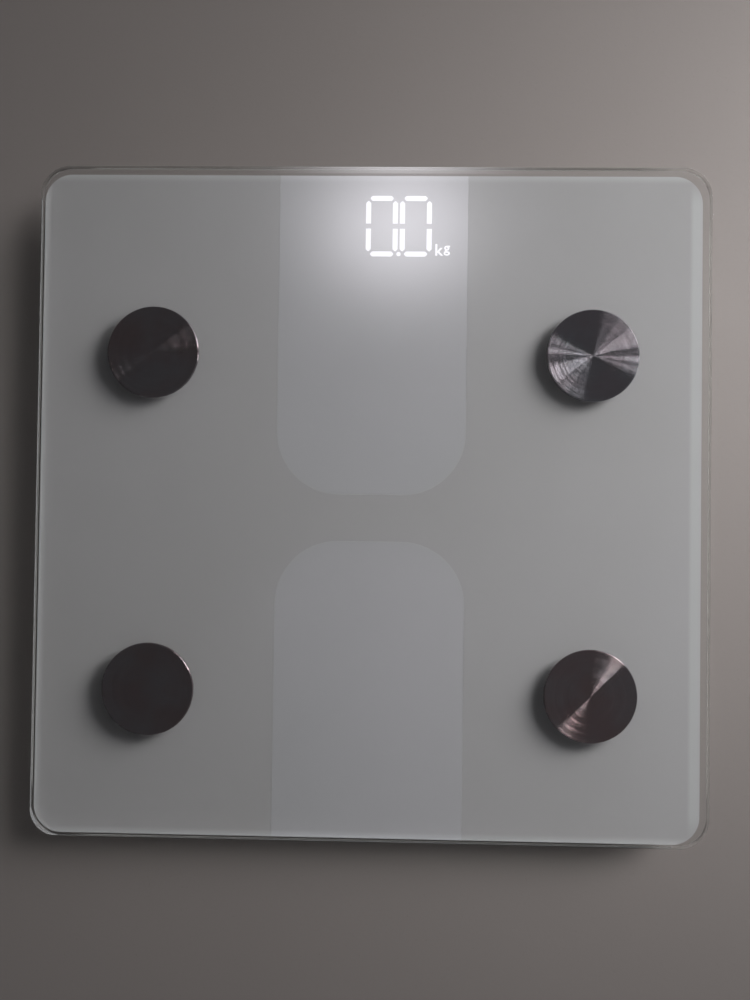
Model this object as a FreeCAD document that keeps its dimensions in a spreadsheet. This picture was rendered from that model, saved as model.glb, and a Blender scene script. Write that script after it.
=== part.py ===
# Digital bathroom scale: a glass platform bonded to a moulded base that stands on four load cells.
# X runs to the right, Y towards the readout and Z up. The origin is on the floor under the middle.
import FreeCAD, Part
import math
import os
import re
import Sketcher

# Every driving size, in millimetres. Each is a cell of the sheet and is written only here.
SIZES = {
    # glass platform
    "platform_width": 300,
    "platform_depth": 300,
    "glass_thickness": 6,
    "glass_corner": 13,
    "glass_edge": 0.6,
    "stud_hole_radius": 2.6,
    # printed coats on the back of the glass
    "print_thickness": 0.2,
    "print_margin_left": 0.7,
    "print_margin_right": 3.1,
    "print_margin_rear": 2.7,
    "print_margin_front": 0.7,
    "print_corner": 12,
    "print_hole_radius": 3.4,
    "print_seam": 0.05,
    "arch_width": 85,
    "arch_corner": 28.5,
    "rear_arch_end": 3.5,
    "front_arch_end": 17.5,
    # round steel contacts, and what holds them
    "contact_side_inset": 52.25,
    "rear_contact_inset": 84,
    "front_contact_inset": 66,
    "contact_radius": 20.5,
    "contact_thickness": 0.8,
    "contact_bevel": 0.4,
    "contact_tape": 0.2,
    "contact_tape_inset": 1,
    "stud_radius": 1.5,
    "stud_tail": 0.6,
    "thread_gap": 0.05,
    "nut_width": 5.5,
    "nut_height": 2,
    "terminal_radius": 4,
    "terminal_thickness": 0.6,
    "terminal_tongue_width": 3,
    "terminal_tongue_length": 9,
    "terminal_overlap": 0.5,
    "terminal_barrel_length": 4,
    "terminal_barrel_height": 2,
    # bonding tape and foam between the glass and the base
    "tape_thickness": 0.8,
    "tape_width": 4,
    "tape_inset": 0.6,
    "foam_width": 30,
    # base shell
    "ground_gap": 3.5,
    "base_overhang": 6,
    "base_lean": 5,
    "base_corner": 12,
    "base_corner_step": 1,
    "base_bottom_edge": 1.2,
    "lip_height": 2,
    "floor_thickness": 2,
    "rim_width": 6,
    "cavity_corner": 7,
    "cavity_lean": 0.5,
    "rib_thickness": 1.6,
    "rib_gap": 1.5,
    "rib_notch": 0.4,
    "rail_gap": 2,
    "channel_width": 20,
    "rail_end_gap": 8,
    "rib_pitch": 32,
    "lead_slot": 4,
    "label_width": 62,
    "label_depth": 34,
    "label_recess": 0.3,
    "label_y": 75,
    # load cell wells and load cells
    "foot_side_inset": 42,
    "foot_end_inset": 36,
    "well_width": 40,
    "well_wall": 2,
    "well_roof": 1.8,
    "seat_width": 4,
    "relief_depth": 2.2,
    "cell_gap": 3,
    "cell_thickness": 2.6,
    "cell_corner": 3,
    "tongue_width": 14,
    "tongue_tip": 8.5,
    "tongue_root": 8,
    "tongue_slot": 3,
    "gauge_width": 8,
    "gauge_depth": 6,
    "gauge_height": 1.6,
    "gauge_y": 5,
    "cell_lead_y": 6.5,
    "groove_run": 2,
    # cell retainers and their screws
    "retainer_thickness": 1.5,
    "retainer_gap": 0.3,
    "retainer_corner": 1,
    "ear_reach": 4.5,
    "ear_radius": 4,
    "round_spare": 0.1,
    "leg_gap": 1.2,
    "leg_inset": 0.2,
    "screw_radius": 1.1,
    "screw_hole_gap": 0.15,
    "screw_length": 8,
    "screw_head_radius": 2.4,
    "screw_head_height": 1.2,
    "screw_cross": 2.6,
    "screw_cross_width": 0.6,
    "screw_cross_depth": 0.7,
    "boss_radius": 3,
    "boss_gap": 0.2,
    # feet
    "pad_rim": 1.5,
    "pad_thickness": 2.2,
    "pad_inset": 1,
    "pad_edge": 0.4,
    "pad_fit": 0.1,
    "tread_depth": 0.6,
    "tread_inset": 8,
    "tread_width": 1.2,
    "tread_pitch": 3.6,
    "carrier_step": 1.5,
    "carrier_edge": 0.5,
    "flange_gap": 2,
    "flange_thickness": 1.6,
    "post_radius": 6,
    "foot_gap": 0.5,
    "foot_drop": 0.8,
    # battery box and cells
    "battery_radius": 5.2,
    "battery_length": 44.5,
    "battery_spacing": 1,
    "battery_edge": 0.5,
    "nub_radius": 1.9,
    "nub_height": 0.9,
    "battery_headroom": 0.3,
    "battery_clearance": 0.5,
    "bay_side_gap": 0.6,
    "bay_ceiling": 1.6,
    "bay_wall": 1.6,
    "bay_cradle": 1.2,
    "bay_cradle_height": 2.4,
    "spring_length": 5.7,
    "spring_wire": 0.35,
    "spring_wide": 3.6,
    "spring_narrow": 2.4,
    "spring_turns": 3.5,
    "plate_thickness": 0.4,
    "plate_side_gap": 1.2,
    "plate_trim": 1,
    # battery door
    "door_thickness": 1.6,
    "door_side_margin": 5.6,
    "door_end_margin": 5.5,
    "door_corner": 3,
    "door_gap": 0.4,
    "door_seat_gap": 0.1,
    "frame_width": 4,
    "frame_height": 3.9,
    "barrel_radius": 1.5,
    "pin_radius": 0.8,
    "pin_length": 2,
    "pin_gap": 0.05,
    "latch_width": 14,
    "latch_length": 12,
    "latch_slot": 1,
    "latch_slot_run": 1,
    "nose_width": 10,
    "nose_reach": 1,
    "nose_thickness": 1,
    "nose_gap": 0.25,
    "scoop_radius": 8,
    "scoop_offset": 1,
    "scoop_depth": 1.2,
    "grip_height": 0.5,
    "grip_width": 1,
    "grip_pitch": 2.4,
    # circuit board and readout
    "board_width": 100,
    "board_depth": 52,
    "board_thickness": 1.6,
    "board_gap": 0.3,
    "board_corner": 2,
    "board_post_height": 4,
    "board_post_x": 44,
    "board_post_inset": 6,
    "board_screw_length": 5,
    "digit_height": 27,
    "digit_width": 14.4,
    "digit_pitch": 15.4,
    "first_digit_x": 27.6,
    "digit_inset": 25.85,
    "segment_width": 2.4,
    "segment_gap": 0.5,
    "dot_radius": 1.3,
    "dot_x": 10.9,
    "unit_window_x": 30.3,
    "unit_window_width": 8,
    "unit_window_height": 7,
    "light_box_width": 76,
    "light_box_wall": 1.2,
    "diffuser_thickness": 0.3,
    "led_length": 3,
    "led_width": 1.4,
    "led_height": 0.8,
    # connectors on the board
    "connector_depth": 5,
    "connector_height": 5,
    "cell_connector_width": 8,
    "lead_connector_width": 6,
    "front_cell_connector_inset": 14.8,
    "rear_cell_connector_inset": 26.8,
    "contact_connector_x": 27,
    "lead_spacing": 1.5,
    # unit button and switch
    "button_x": 30,
    "button_inset": 11.8,
    "button_radius": 4,
    "button_gap": 0.3,
    "button_recess": 0.4,
    "button_edge": 0.4,
    "button_flange_radius": 5.4,
    "button_flange_thickness": 0.8,
    "button_rest_gap": 0.1,
    "button_travel": 0.5,
    "button_spare": 0.3,
    "switch_width": 6,
    "plunger_radius": 1.65,
    "plunger_gap": 0.05,
    "plunger_length": 1.8,
    # leads
    "cell_lead_radius": 1,
    "contact_lead_radius": 0.6,
    "battery_lead_radius": 0.7,
    "lead_hole_gap": 0.2,
}

# The parts on the board in front of the light box: middle, width, depth and height of each.
CHIPS = {
    "processor": (-12, 7, 7, 0.9),
    "driver": (6, 14, 9, 1.8),
    "radio": (-22, 6, 5, 1.2),
    "coil": (20, 5, 5, 3),
    "crystal": (-30, 3.2, 2.5, 1),
}
for chip, numbers in CHIPS.items():
    for what, number in zip(("x", "width", "depth", "height"), numbers):
        SIZES[f"{chip}_{what}"] = number

# Heights and places that follow from the driving sizes.
DERIVED = {
    "half_width": "platform_width / 2",
    "half_depth": "platform_depth / 2",
    "contact_x": "half_width - contact_side_inset",
    "rear_contact_y": "half_depth - rear_contact_inset",
    "front_contact_y": "half_depth - front_contact_inset",
    "foot_x": "half_width - foot_side_inset",
    "foot_y": "half_depth - foot_end_inset",
    "floor_top": "ground_gap + floor_thickness",
    "door_top": "ground_gap + door_thickness",
    "door_seat": "door_top + door_seat_gap",
    "battery_z": "door_seat + battery_clearance + battery_radius",
    "bay_top": "battery_z + battery_radius + battery_headroom",
    "base_top": "bay_top + bay_ceiling",
    "base_height": "base_top - ground_gap",
    "print_bottom": "base_top + tape_thickness",
    "glass_bottom": "print_bottom + print_thickness",
    "glass_top": "glass_bottom + glass_thickness",
    "contact_bottom": "glass_top + contact_tape",
    "contact_top": "contact_bottom + contact_thickness",
    "terminal_bottom": "print_bottom - terminal_thickness",
    "nut_bottom": "terminal_bottom - nut_height",
    "stud_end": "nut_bottom - stud_tail",
    "print_left": "-(half_width - print_margin_left)",
    "print_right": "half_width - print_margin_right",
    "print_rear": "half_depth - print_margin_rear",
    "print_front": "-(half_depth - print_margin_front)",
    "lip_half_width": "half_width - base_overhang",
    "lip_half_depth": "half_depth - base_overhang",
    "cavity_half_width": "lip_half_width - rim_width",
    "cavity_half_depth": "lip_half_depth - rim_width",
    "cavity_floor_half_width": "cavity_half_width - cavity_lean",
    "cavity_floor_half_depth": "cavity_half_depth - cavity_lean",
    "rib_height": "base_top - rib_gap - floor_top",
    "well_half": "well_width / 2 + well_wall",
    "cell_width": "well_width - 2 * cell_gap",
    "relief_width": "cell_width - 2 * seat_width",
    "ear_x": "well_width / 2 + ear_reach",
    "flange_radius": "well_width / 2 - flange_gap",
    "carrier_radius": "flange_radius - carrier_step",
    "pad_radius": "carrier_radius - pad_rim",
    "leg_corner": "(flange_radius + leg_gap) * cos(45 deg)",
    "leg_width": "cell_width / 2 - leg_inset - leg_corner",
    "outer_rail_x": "foot_x - well_half - rail_gap",
    "inner_rail_x": "outer_rail_x - channel_width",
    "rail_end_y": "rear_contact_y - rail_end_gap",
    "cell_top": "base_top - well_roof - relief_depth",
    "seat_height": "cell_top - ground_gap",
    "boss_height": "cell_top - boss_gap - floor_top",
    "cell_bottom": "cell_top - cell_thickness",
    "cell_lead_z": "cell_top + cell_lead_radius + lead_hole_gap / 2",
    "retainer_top": "ground_gap + retainer_thickness",
    "carrier_bottom": "pad_thickness - pad_inset",
    "flange_bottom": "retainer_top + foot_drop",
    "flange_top": "flange_bottom + flange_thickness",
    "battery_pitch": "2 * battery_radius + battery_spacing",
    "plate_width": "battery_pitch - 2 * plate_side_gap",
    "plate_height": "2 * (battery_radius - plate_trim)",
    "bay_half_width": "2 * battery_pitch + bay_side_gap",
    "bay_half_length": "(battery_length + spring_length) / 2 + plate_thickness",
    "door_half_width": "bay_half_width + door_side_margin",
    "door_half_length": "bay_half_length + door_end_margin",
    "recess_half_width": "door_half_width + door_gap",
    "recess_half_length": "door_half_length + door_gap",
    "frame_half_width": "recess_half_width + frame_width",
    "frame_half_length": "recess_half_length + frame_width",
    "hinge_y": "door_half_length - barrel_radius",
    "hinge_z": "ground_gap + barrel_radius",
    "barrel_room": "barrel_radius + door_gap",
    "board_bottom": "floor_top + board_post_height",
    "board_top": "board_bottom + board_thickness",
    "board_rear": "cavity_floor_half_depth - board_gap",
    "board_front": "board_rear - board_depth",
    "front_cell_connector_y": "board_front + front_cell_connector_inset",
    "rear_cell_connector_y": "board_front + rear_cell_connector_inset",
    "digit_y": "half_depth - digit_inset",
    "light_box_top": "print_bottom - diffuser_thickness",
    "light_box_front": "digit_y - digit_height / 2 - light_box_wall",
    "light_box_rear": "digit_y + digit_height / 2 + light_box_wall",
    "button_y": "board_front + button_inset",
    "button_bottom": "ground_gap + button_recess",
    "button_flange_bottom": "floor_top + button_rest_gap",
    "button_top": "button_flange_bottom + button_flange_thickness",
    "switch_bottom": "button_top + button_travel + button_spare",
    "connector_z": "board_top + connector_height / 2",
}

CORNERS = {
    "rear_left": (-1, 1),
    "rear_right": (1, 1),
    "front_left": (-1, -1),
    "front_right": (1, -1),
}

doc = FreeCAD.newDocument("bathroom_scale")
sheet = doc.addObject("Spreadsheet::Sheet", "Sizes")
for row, (alias, number) in enumerate(SIZES.items(), start=1):
    sheet.set(f"A{row}", alias)
    sheet.set(f"B{row}", str(number))
    sheet.setAlias(f"B{row}", alias)
doc.recompute()


# ---- formulas ----


def formula(text):
    """An expression on the sheet's cells, from words such as 'half_width - glass_corner'."""

    def cell(match):
        word = match.group(0)
        if word in DERIVED:
            return "(" + formula(DERIVED[word]) + ")"
        return "Sizes." + word if word in SIZES else word

    return re.sub(r"[a-z][a-z0-9_]*", cell, str(text))


def value(text):
    """The number that a formula gives now, in millimetres."""
    return float(sheet.evalExpression(formula(text)))


def signed(sign, text):
    """The formula, or its negative."""
    return f"({text})" if sign > 0 else f"-({text})"


def foot_place(corner):
    """Formulas for the middle of one corner's foot."""
    side, end = CORNERS[corner]
    return signed(side, "foot_x"), signed(end, "foot_y")


def contact_place(corner):
    """Formulas for the middle of one corner's steel contact."""
    side, end = CORNERS[corner]
    along = "rear_contact_y" if end > 0 else "-front_contact_y"
    return signed(side, "contact_x"), along


# ---- sketches ----


class Drawing:
    """A sketch of closed outlines, with every dimension bound to the sheet."""

    def __init__(self, body, level="0", plane="XY_Plane"):
        self.sketch = body.newObject("Sketcher::SketchObject", "Sketch")
        support = next(f for f in body.Origin.OriginFeatures if f.Role == plane)
        self.sketch.AttachmentSupport = [(support, "")]
        self.sketch.MapMode = "FlatFace"
        self.sketch.setExpression("AttachmentOffset.Base.z", formula(level))
        self.geometry = []
        self.constraints = []
        self.bindings = []

    def add(self, piece):
        self.geometry.append(piece)
        return len(self.geometry) - 1

    def join(self, kind, *where):
        self.constraints.append(Sketcher.Constraint(kind, *where))

    def bind(self, kind, where, text):
        self.bindings.append((len(self.constraints), text))
        self.constraints.append(Sketcher.Constraint(kind, *where, value(text)))

    def polygon(self, corners):
        """Straight edges from corner to corner, each corner placed by two formulas."""
        places = [FreeCAD.Vector(value(x), value(y), 0) for x, y in corners]
        first = len(self.geometry)
        count = len(corners)
        for i, place in enumerate(places):
            self.add(Part.LineSegment(place, places[(i + 1) % count]))
        for i, (x, y) in enumerate(corners):
            self.join("Coincident", first + i, 2, first + (i + 1) % count, 1)
            self.bind("DistanceX", (-1, 1, first + i, 1), x)
            self.bind("DistanceY", (-1, 1, first + i, 1), y)

    def box(self, x, y, width, height):
        """A plain rectangle about a middle point."""
        left, right = f"{x} - ({width}) / 2", f"{x} + ({width}) / 2"
        low, high = f"{y} - ({height}) / 2", f"{y} + ({height}) / 2"
        self.polygon([(left, low), (right, low), (right, high), (left, high)])

    def circle(self, x, y, radius):
        middle = FreeCAD.Vector(value(x), value(y), 0)
        piece = self.add(Part.Circle(middle, FreeCAD.Vector(0, 0, 1), value(radius)))
        self.bind("DistanceX", (-1, 1, piece, 3), x)
        self.bind("DistanceY", (-1, 1, piece, 3), y)
        self.bind("Radius", (piece,), radius)

    def rounded(self, left, low, right, high, radii):
        """A rectangle with its own radius, or None, at each corner, from the low left one round."""
        corners = [(left, low), (right, low), (right, high), (left, high)]
        places = [FreeCAD.Vector(value(x), value(y), 0) for x, y in corners]
        rounds = [value(r) if r else 0.0 for r in radii]
        lines = []
        for i in range(4):
            start, end = places[i], places[(i + 1) % 4]
            along = (end - start).normalize()
            start = start + along * rounds[i]
            end = end - along * rounds[(i + 1) % 4]
            lines.append(self.add(Part.LineSegment(start, end)))
            self.join("Vertical" if i % 2 else "Horizontal", lines[i])
            x, y = corners[i]
            if i % 2:
                self.bind("DistanceX", (-1, 1, lines[i], 1), x)
            else:
                self.bind("DistanceY", (-1, 1, lines[i], 1), y)
        for i, radius in enumerate(radii):
            before, after = lines[i - 1], lines[i]
            if not radius:
                self.join("Coincident", before, 2, after, 1)
                continue
            turn = math.pi * (i / 2 - 1)
            inward = FreeCAD.Vector(math.cos(turn), math.sin(turn), 0)
            inward = inward + FreeCAD.Vector(-math.sin(turn), math.cos(turn), 0)
            middle = places[i] - inward * rounds[i]
            whole = Part.Circle(middle, FreeCAD.Vector(0, 0, 1), rounds[i])
            arc = self.add(Part.ArcOfCircle(whole, turn, turn + math.pi / 2))
            self.join("Tangent", before, 2, arc, 1)
            self.join("Tangent", arc, 2, after, 1)
            self.bind("Radius", (arc,), radius)

    def finish(self):
        self.sketch.addGeometry(self.geometry, False)
        self.sketch.addConstraint(self.constraints)
        for index, text in self.bindings:
            self.sketch.setExpression(f"Constraints[{index}]", formula(text))
        return self.sketch


def rounded_block(drawing, half_width, half_depth, radius):
    """A rounded rectangle about the origin."""
    drawing.rounded(
        f"-({half_width})", f"-({half_depth})", half_width, half_depth, [radius] * 4
    )


# ---- features ----


def new_body(label):
    body = doc.addObject("PartDesign::Body", label)
    body.Label = label
    return body


def pad(body, drawing, length, down=False):
    """Material from the drawing's level up, or down, by a length."""
    feature = body.newObject("PartDesign::Pad", "Pad")
    feature.Profile = drawing.finish()
    feature.Reversed = down
    feature.setExpression("Length", formula(length))
    return feature


def pocket(body, drawing, length, down=False):
    """A cut from the drawing's level up, or down, by a depth. It has to remove something."""
    doc.recompute()
    before = body.Shape.Volume
    feature = body.newObject("PartDesign::Pocket", "Pocket")
    feature.Profile = drawing.finish()
    feature.Reversed = not down
    feature.setExpression("Length", formula(length))
    doc.recompute()
    if not body.Shape.Volume < before:
        raise ValueError(f"a pocket in {body.Label} cuts nothing")
    return feature


def revolve(body, drawing):
    """A full turn of the drawing about its upright axis."""
    feature = body.newObject("PartDesign::Revolution", "Revolution")
    feature.Profile = drawing.finish()
    feature.ReferenceAxis = (drawing.sketch, ["V_Axis"])
    feature.Angle = 360
    return feature


def dress(body, kind, wanted, size):
    """A fillet or a chamfer on the edges of the body that wanted() picks."""
    doc.recompute()
    base = body.Tip
    names = [f"Edge{i}" for i, edge in enumerate(base.Shape.Edges, start=1) if wanted(edge)]
    if not names:
        raise ValueError(f"{body.Label} has no edge to dress")
    feature = body.newObject("PartDesign::" + kind, kind)
    feature.Base = (base, names)
    feature.setExpression("Radius" if kind == "Fillet" else "Size", formula(size))
    return feature


def at_level(level):
    """Picks edges that lie flat at one height."""
    height = value(level)

    def wanted(edge):
        box = edge.BoundBox
        return abs(box.ZMin - height) < 1e-4 and abs(box.ZMax - height) < 1e-4

    return wanted


def put(body, x, y, z="0"):
    """Places a body, with its place bound to the sheet."""
    for axis, text in (("x", x), ("y", y), ("z", z)):
        body.setExpression("Placement.Base." + axis, formula(text))
    return body


# ---- glass, prints and contacts ----


def glass_platform():
    """Toughened pane with a polished bevel, drilled for the contact studs."""
    body = new_body("glass_platform")
    outline = Drawing(body, "glass_bottom")
    rounded_block(outline, "half_width", "half_depth", "glass_corner")
    pad(body, outline, "glass_thickness")
    for level in ("glass_bottom", "glass_top"):
        dress(body, "Chamfer", at_level(level), "glass_edge")
    holes = Drawing(body, "glass_bottom")
    for corner in CORNERS:
        holes.circle(*contact_place(corner), "stud_hole_radius")
    pocket(body, holes, "glass_thickness")
    return body


def arch_sides(end):
    """The arch's two sides and its blind end, as formulas, for the rear (1) or front (-1) arch."""
    inner = "rear_arch_end" if end > 0 else "-front_arch_end"
    return "-arch_width / 2", "arch_width / 2", inner


def white_print():
    """The white coat: the whole back of the glass but a clear rim, less the two arches."""
    body = new_body("white_print")
    outline = Drawing(body, "print_bottom")
    corners = ["print_corner"] * 4
    outline.rounded("print_left", "print_front", "print_right", "print_rear", corners)
    pad(body, outline, "print_thickness")
    cuts = Drawing(body, "print_bottom")
    for corner in CORNERS:
        cuts.circle(*contact_place(corner), "print_hole_radius")
    round_end = ["arch_corner", "arch_corner", None, None]
    left, right, inner = arch_sides(1)
    cuts.rounded(left, inner, right, "half_depth", round_end)
    left, right, inner = arch_sides(-1)
    cuts.rounded(left, "-half_depth", right, inner, round_end[::-1])
    pocket(body, cuts, "print_thickness")
    return body


def arch_print(label, end):
    """A lighter printed arch that runs in from the rear or the front edge of the print."""
    body = new_body(label)
    outline = Drawing(body, "print_bottom")
    left, right, inner = arch_sides(end)
    left, right = f"{left} + print_seam", f"{right} - print_seam"
    radius = "arch_corner - print_seam"
    if end > 0:
        low, high = f"{inner} + print_seam", "print_rear"
        radii = [radius, radius, None, None]
    else:
        low, high = "print_front", f"{inner} - print_seam"
        radii = [None, None, radius, radius]
    outline.rounded(left, low, right, high, radii)
    pad(body, outline, "print_thickness")
    return body


def contact(corner):
    """A turned steel disc with a threaded stud under its middle."""
    body = new_body("contact_" + corner)
    profile = Drawing(body, plane="XZ_Plane")
    profile.polygon(
        [
            ("0", "stud_end"),
            ("stud_radius", "stud_end"),
            ("stud_radius", "contact_bottom"),
            ("contact_radius", "contact_bottom"),
            ("contact_radius", "contact_top - contact_bevel"),
            ("contact_radius - contact_bevel", "contact_top"),
            ("0", "contact_top"),
        ]
    )
    revolve(body, profile)
    return put(body, *contact_place(corner))


def contact_tape():
    """A thin adhesive ring under each contact."""
    body = new_body("contact_tape")
    rings = Drawing(body, "glass_top")
    for corner in CORNERS:
        x, y = contact_place(corner)
        rings.circle(x, y, "contact_radius - contact_tape_inset")
        rings.circle(x, y, "print_hole_radius")
    pad(body, rings, "contact_tape")
    return body


def contact_terminals():
    """Ring terminals on the studs, each with a tongue and a crimp that point inwards."""
    body = new_body("contact_terminals")
    rings = Drawing(body, "terminal_bottom")
    for corner in CORNERS:
        x, y = contact_place(corner)
        rings.circle(x, y, "terminal_radius")
        rings.circle(x, y, "stud_radius + thread_gap")
    pad(body, rings, "terminal_thickness")
    inner = "terminal_radius - terminal_overlap"
    tongues = Drawing(body, "terminal_bottom")
    for corner in CORNERS:
        x, y = contact_place(corner)
        side = CORNERS[corner][0]
        middle = signed(-side, f"(terminal_tongue_length + {inner}) / 2")
        length = f"terminal_tongue_length - ({inner})"
        tongues.box(f"{x} + {middle}", y, length, "terminal_tongue_width")
    pad(body, tongues, "terminal_thickness")
    barrels = Drawing(body, "print_bottom")
    for corner in CORNERS:
        x, y = contact_place(corner)
        side = CORNERS[corner][0]
        middle = signed(-side, "terminal_tongue_length - terminal_barrel_length / 2")
        barrels.box(f"{x} + {middle}", y, "terminal_barrel_length", "terminal_tongue_width")
    pad(body, barrels, "terminal_barrel_height", down=True)
    return body


def contact_nuts():
    """A hexagon nut on each stud, under the terminal."""
    body = new_body("contact_nuts")
    nuts = Drawing(body, "nut_bottom")
    for corner in CORNERS:
        x, y = contact_place(corner)
        across = "nut_width / 2 / cos(30 deg)"
        corners = [
            (f"{x} + {across} * cos({60 * i} deg)", f"{y} + {across} * sin({60 * i} deg)")
            for i in range(6)
        ]
        nuts.polygon(corners)
        nuts.circle(x, y, "stud_radius + thread_gap")
    pad(body, nuts, "nut_height")
    return body


def bonding_tape():
    """Foam tape round the base's rim, which holds the glass."""
    body = new_body("bonding_tape")
    ring = Drawing(body, "base_top")
    for inset in ("tape_inset", "(tape_inset + tape_width)"):
        rounded_block(
            ring,
            f"lip_half_width - {inset}",
            f"lip_half_depth - {inset}",
            f"base_corner - {inset}",
        )
    pad(body, ring, "tape_thickness")
    return body


def foam_pads():
    """Foam squares that carry the glass on the four wells and on the battery box."""
    body = new_body("foam_pads")
    squares = Drawing(body, "base_top")
    for corner in CORNERS:
        squares.box(*foot_place(corner), "foam_width", "foam_width")
    squares.box("0", "0", "foam_width", "foam_width")
    pad(body, squares, "tape_thickness")
    return body


# ---- base shell ----


def dish(body):
    """The tray itself: leaning sides, an upright lip, and the hollow inside."""
    bottom = Drawing(body, "ground_gap")
    rounded_block(
        bottom,
        "lip_half_width - base_lean",
        "lip_half_depth - base_lean",
        "base_corner - base_corner_step",
    )
    top = Drawing(body, "base_top - lip_height")
    rounded_block(top, "lip_half_width", "lip_half_depth", "base_corner")
    sides = body.newObject("PartDesign::AdditiveLoft", "Sides")
    sides.Profile = bottom.finish()
    sides.Sections = [top.finish()]
    sides.Ruled = True
    lip = Drawing(body, "base_top - lip_height")
    rounded_block(lip, "lip_half_width", "lip_half_depth", "base_corner")
    pad(body, lip, "lip_height")
    dress(body, "Fillet", at_level("ground_gap"), "base_bottom_edge")
    doc.recompute()
    full = body.Shape.Volume
    low = Drawing(body, "floor_top")
    rounded_block(low, "cavity_floor_half_width", "cavity_floor_half_depth", "cavity_corner")
    high = Drawing(body, "base_top")
    rounded_block(high, "cavity_half_width", "cavity_half_depth", "cavity_corner")
    hollow = body.newObject("PartDesign::SubtractiveLoft", "Hollow")
    hollow.Profile = low.finish()
    hollow.Sections = [high.finish()]
    hollow.Ruled = True
    doc.recompute()
    if not body.Shape.Volume < full:
        raise ValueError("the tray has no hollow")


def base_blocks(body):
    """Solid blocks that the wells, the battery box and its door frame are cut into."""
    wells = Drawing(body, "ground_gap")
    for corner in CORNERS:
        wells.box(*foot_place(corner), "2 * well_half", "2 * well_half")
    pad(body, wells, "base_height")
    bay = Drawing(body, "ground_gap")
    bay.box("0", "0", "2 * (bay_half_width + bay_wall)", "2 * (bay_half_length + bay_wall)")
    pad(body, bay, "base_height")
    frame = Drawing(body, "ground_gap")
    frame.box("0", "0", "2 * frame_half_width", "2 * frame_half_length")
    pad(body, frame, "frame_height")
    bosses = Drawing(body, "floor_top")
    for corner in CORNERS:
        x, y = foot_place(corner)
        for ear in (-1, 1):
            bosses.circle(f"{x} + {signed(ear, 'ear_x')}", y, "boss_radius")
    pad(body, bosses, "boss_height")


def base_wells(body):
    """From below: the well, the retainer's seat, the relief, the screw holes and the lead groove."""
    seats = Drawing(body, "ground_gap")
    for corner in CORNERS:
        x, y = foot_place(corner)
        seats.box(x, y, "well_width", "well_width")
    pocket(body, seats, "seat_height")
    ears = Drawing(body, "ground_gap")
    for corner in CORNERS:
        x, y = foot_place(corner)
        reach = "(ear_x + ear_radius + retainer_gap)"
        room = "(ear_radius + retainer_gap)"
        ears.rounded(
            f"{x} - {reach}",
            f"{y} - {room}",
            f"{x} + {reach}",
            f"{y} + {room}",
            ["ear_radius"] * 4,
        )
    pocket(body, ears, "retainer_thickness")
    relief = Drawing(body, "cell_top")
    for corner in CORNERS:
        x, y = foot_place(corner)
        relief.box(x, y, "relief_width", "relief_width")
    pocket(body, relief, "relief_depth")
    holes = Drawing(body, "retainer_top")
    for corner in CORNERS:
        x, y = foot_place(corner)
        for ear in (-1, 1):
            holes.circle(f"{x} + {signed(ear, 'ear_x')}", y, "screw_radius + thread_gap")
    pocket(body, holes, "screw_length")
    grooves = Drawing(body, "cell_top")
    for corner in CORNERS:
        x, y = foot_place(corner)
        side, end = CORNERS[corner]
        middle = signed(-side, "(relief_width / 2 + well_half) / 2")
        span = "well_half - relief_width / 2 + groove_run"
        width = "2 * (cell_lead_radius + lead_hole_gap)"
        grooves.box(f"{x} + {middle}", f"{y} + {signed(-end, 'cell_lead_y')}", span, width)
    pocket(body, grooves, "relief_depth")


def base_battery_box(body):
    """From below: the door's recess, its hinge room and sockets, the latch catch and the bay."""
    recess = Drawing(body, "ground_gap")
    rounded_block(recess, "recess_half_width", "recess_half_length", "door_corner")
    pocket(body, recess, "door_thickness + door_seat_gap")
    bay = Drawing(body, "door_seat")
    bay.box("0", "0", "2 * bay_half_width", "2 * bay_half_length")
    pocket(body, bay, "bay_top - door_seat")
    hinge_room = Drawing(body, "ground_gap")
    hinge_room.rounded(
        "-recess_half_width",
        "-recess_half_length",
        "recess_half_width",
        "-hinge_y + barrel_room",
        [None] * 4,
    )
    pocket(body, hinge_room, "barrel_radius + barrel_room")
    sockets = Drawing(body, "-(recess_half_width + pin_length)", "YZ_Plane")
    sockets.circle("-hinge_y", "hinge_z", "pin_radius + pin_gap")
    pocket(body, sockets, "2 * (recess_half_width + pin_length)")
    catch = Drawing(body, "door_seat")
    catch.rounded(
        "-latch_width / 2 - door_gap",
        "bay_half_length",
        "latch_width / 2 + door_gap",
        "door_half_length + nose_reach + door_gap * 2",
        [None] * 4,
    )
    pocket(body, catch, "nose_gap + nose_thickness + door_gap")
    scoop = Drawing(body, "ground_gap")
    scoop.circle("0", "recess_half_length + scoop_offset", "scoop_radius")
    pocket(body, scoop, "scoop_depth")


def base_cradles(body):
    """Low ribs on the bay's ceiling that keep the batteries apart."""
    cradles = Drawing(body, "bay_top")
    for step in (-1, 0, 1):
        length = "2 * bay_half_length - 4 * spring_length"
        cradles.box(f"{step} * battery_pitch", "0", "bay_cradle", length)
    pad(body, cradles, "bay_cradle_height", down=True)


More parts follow.
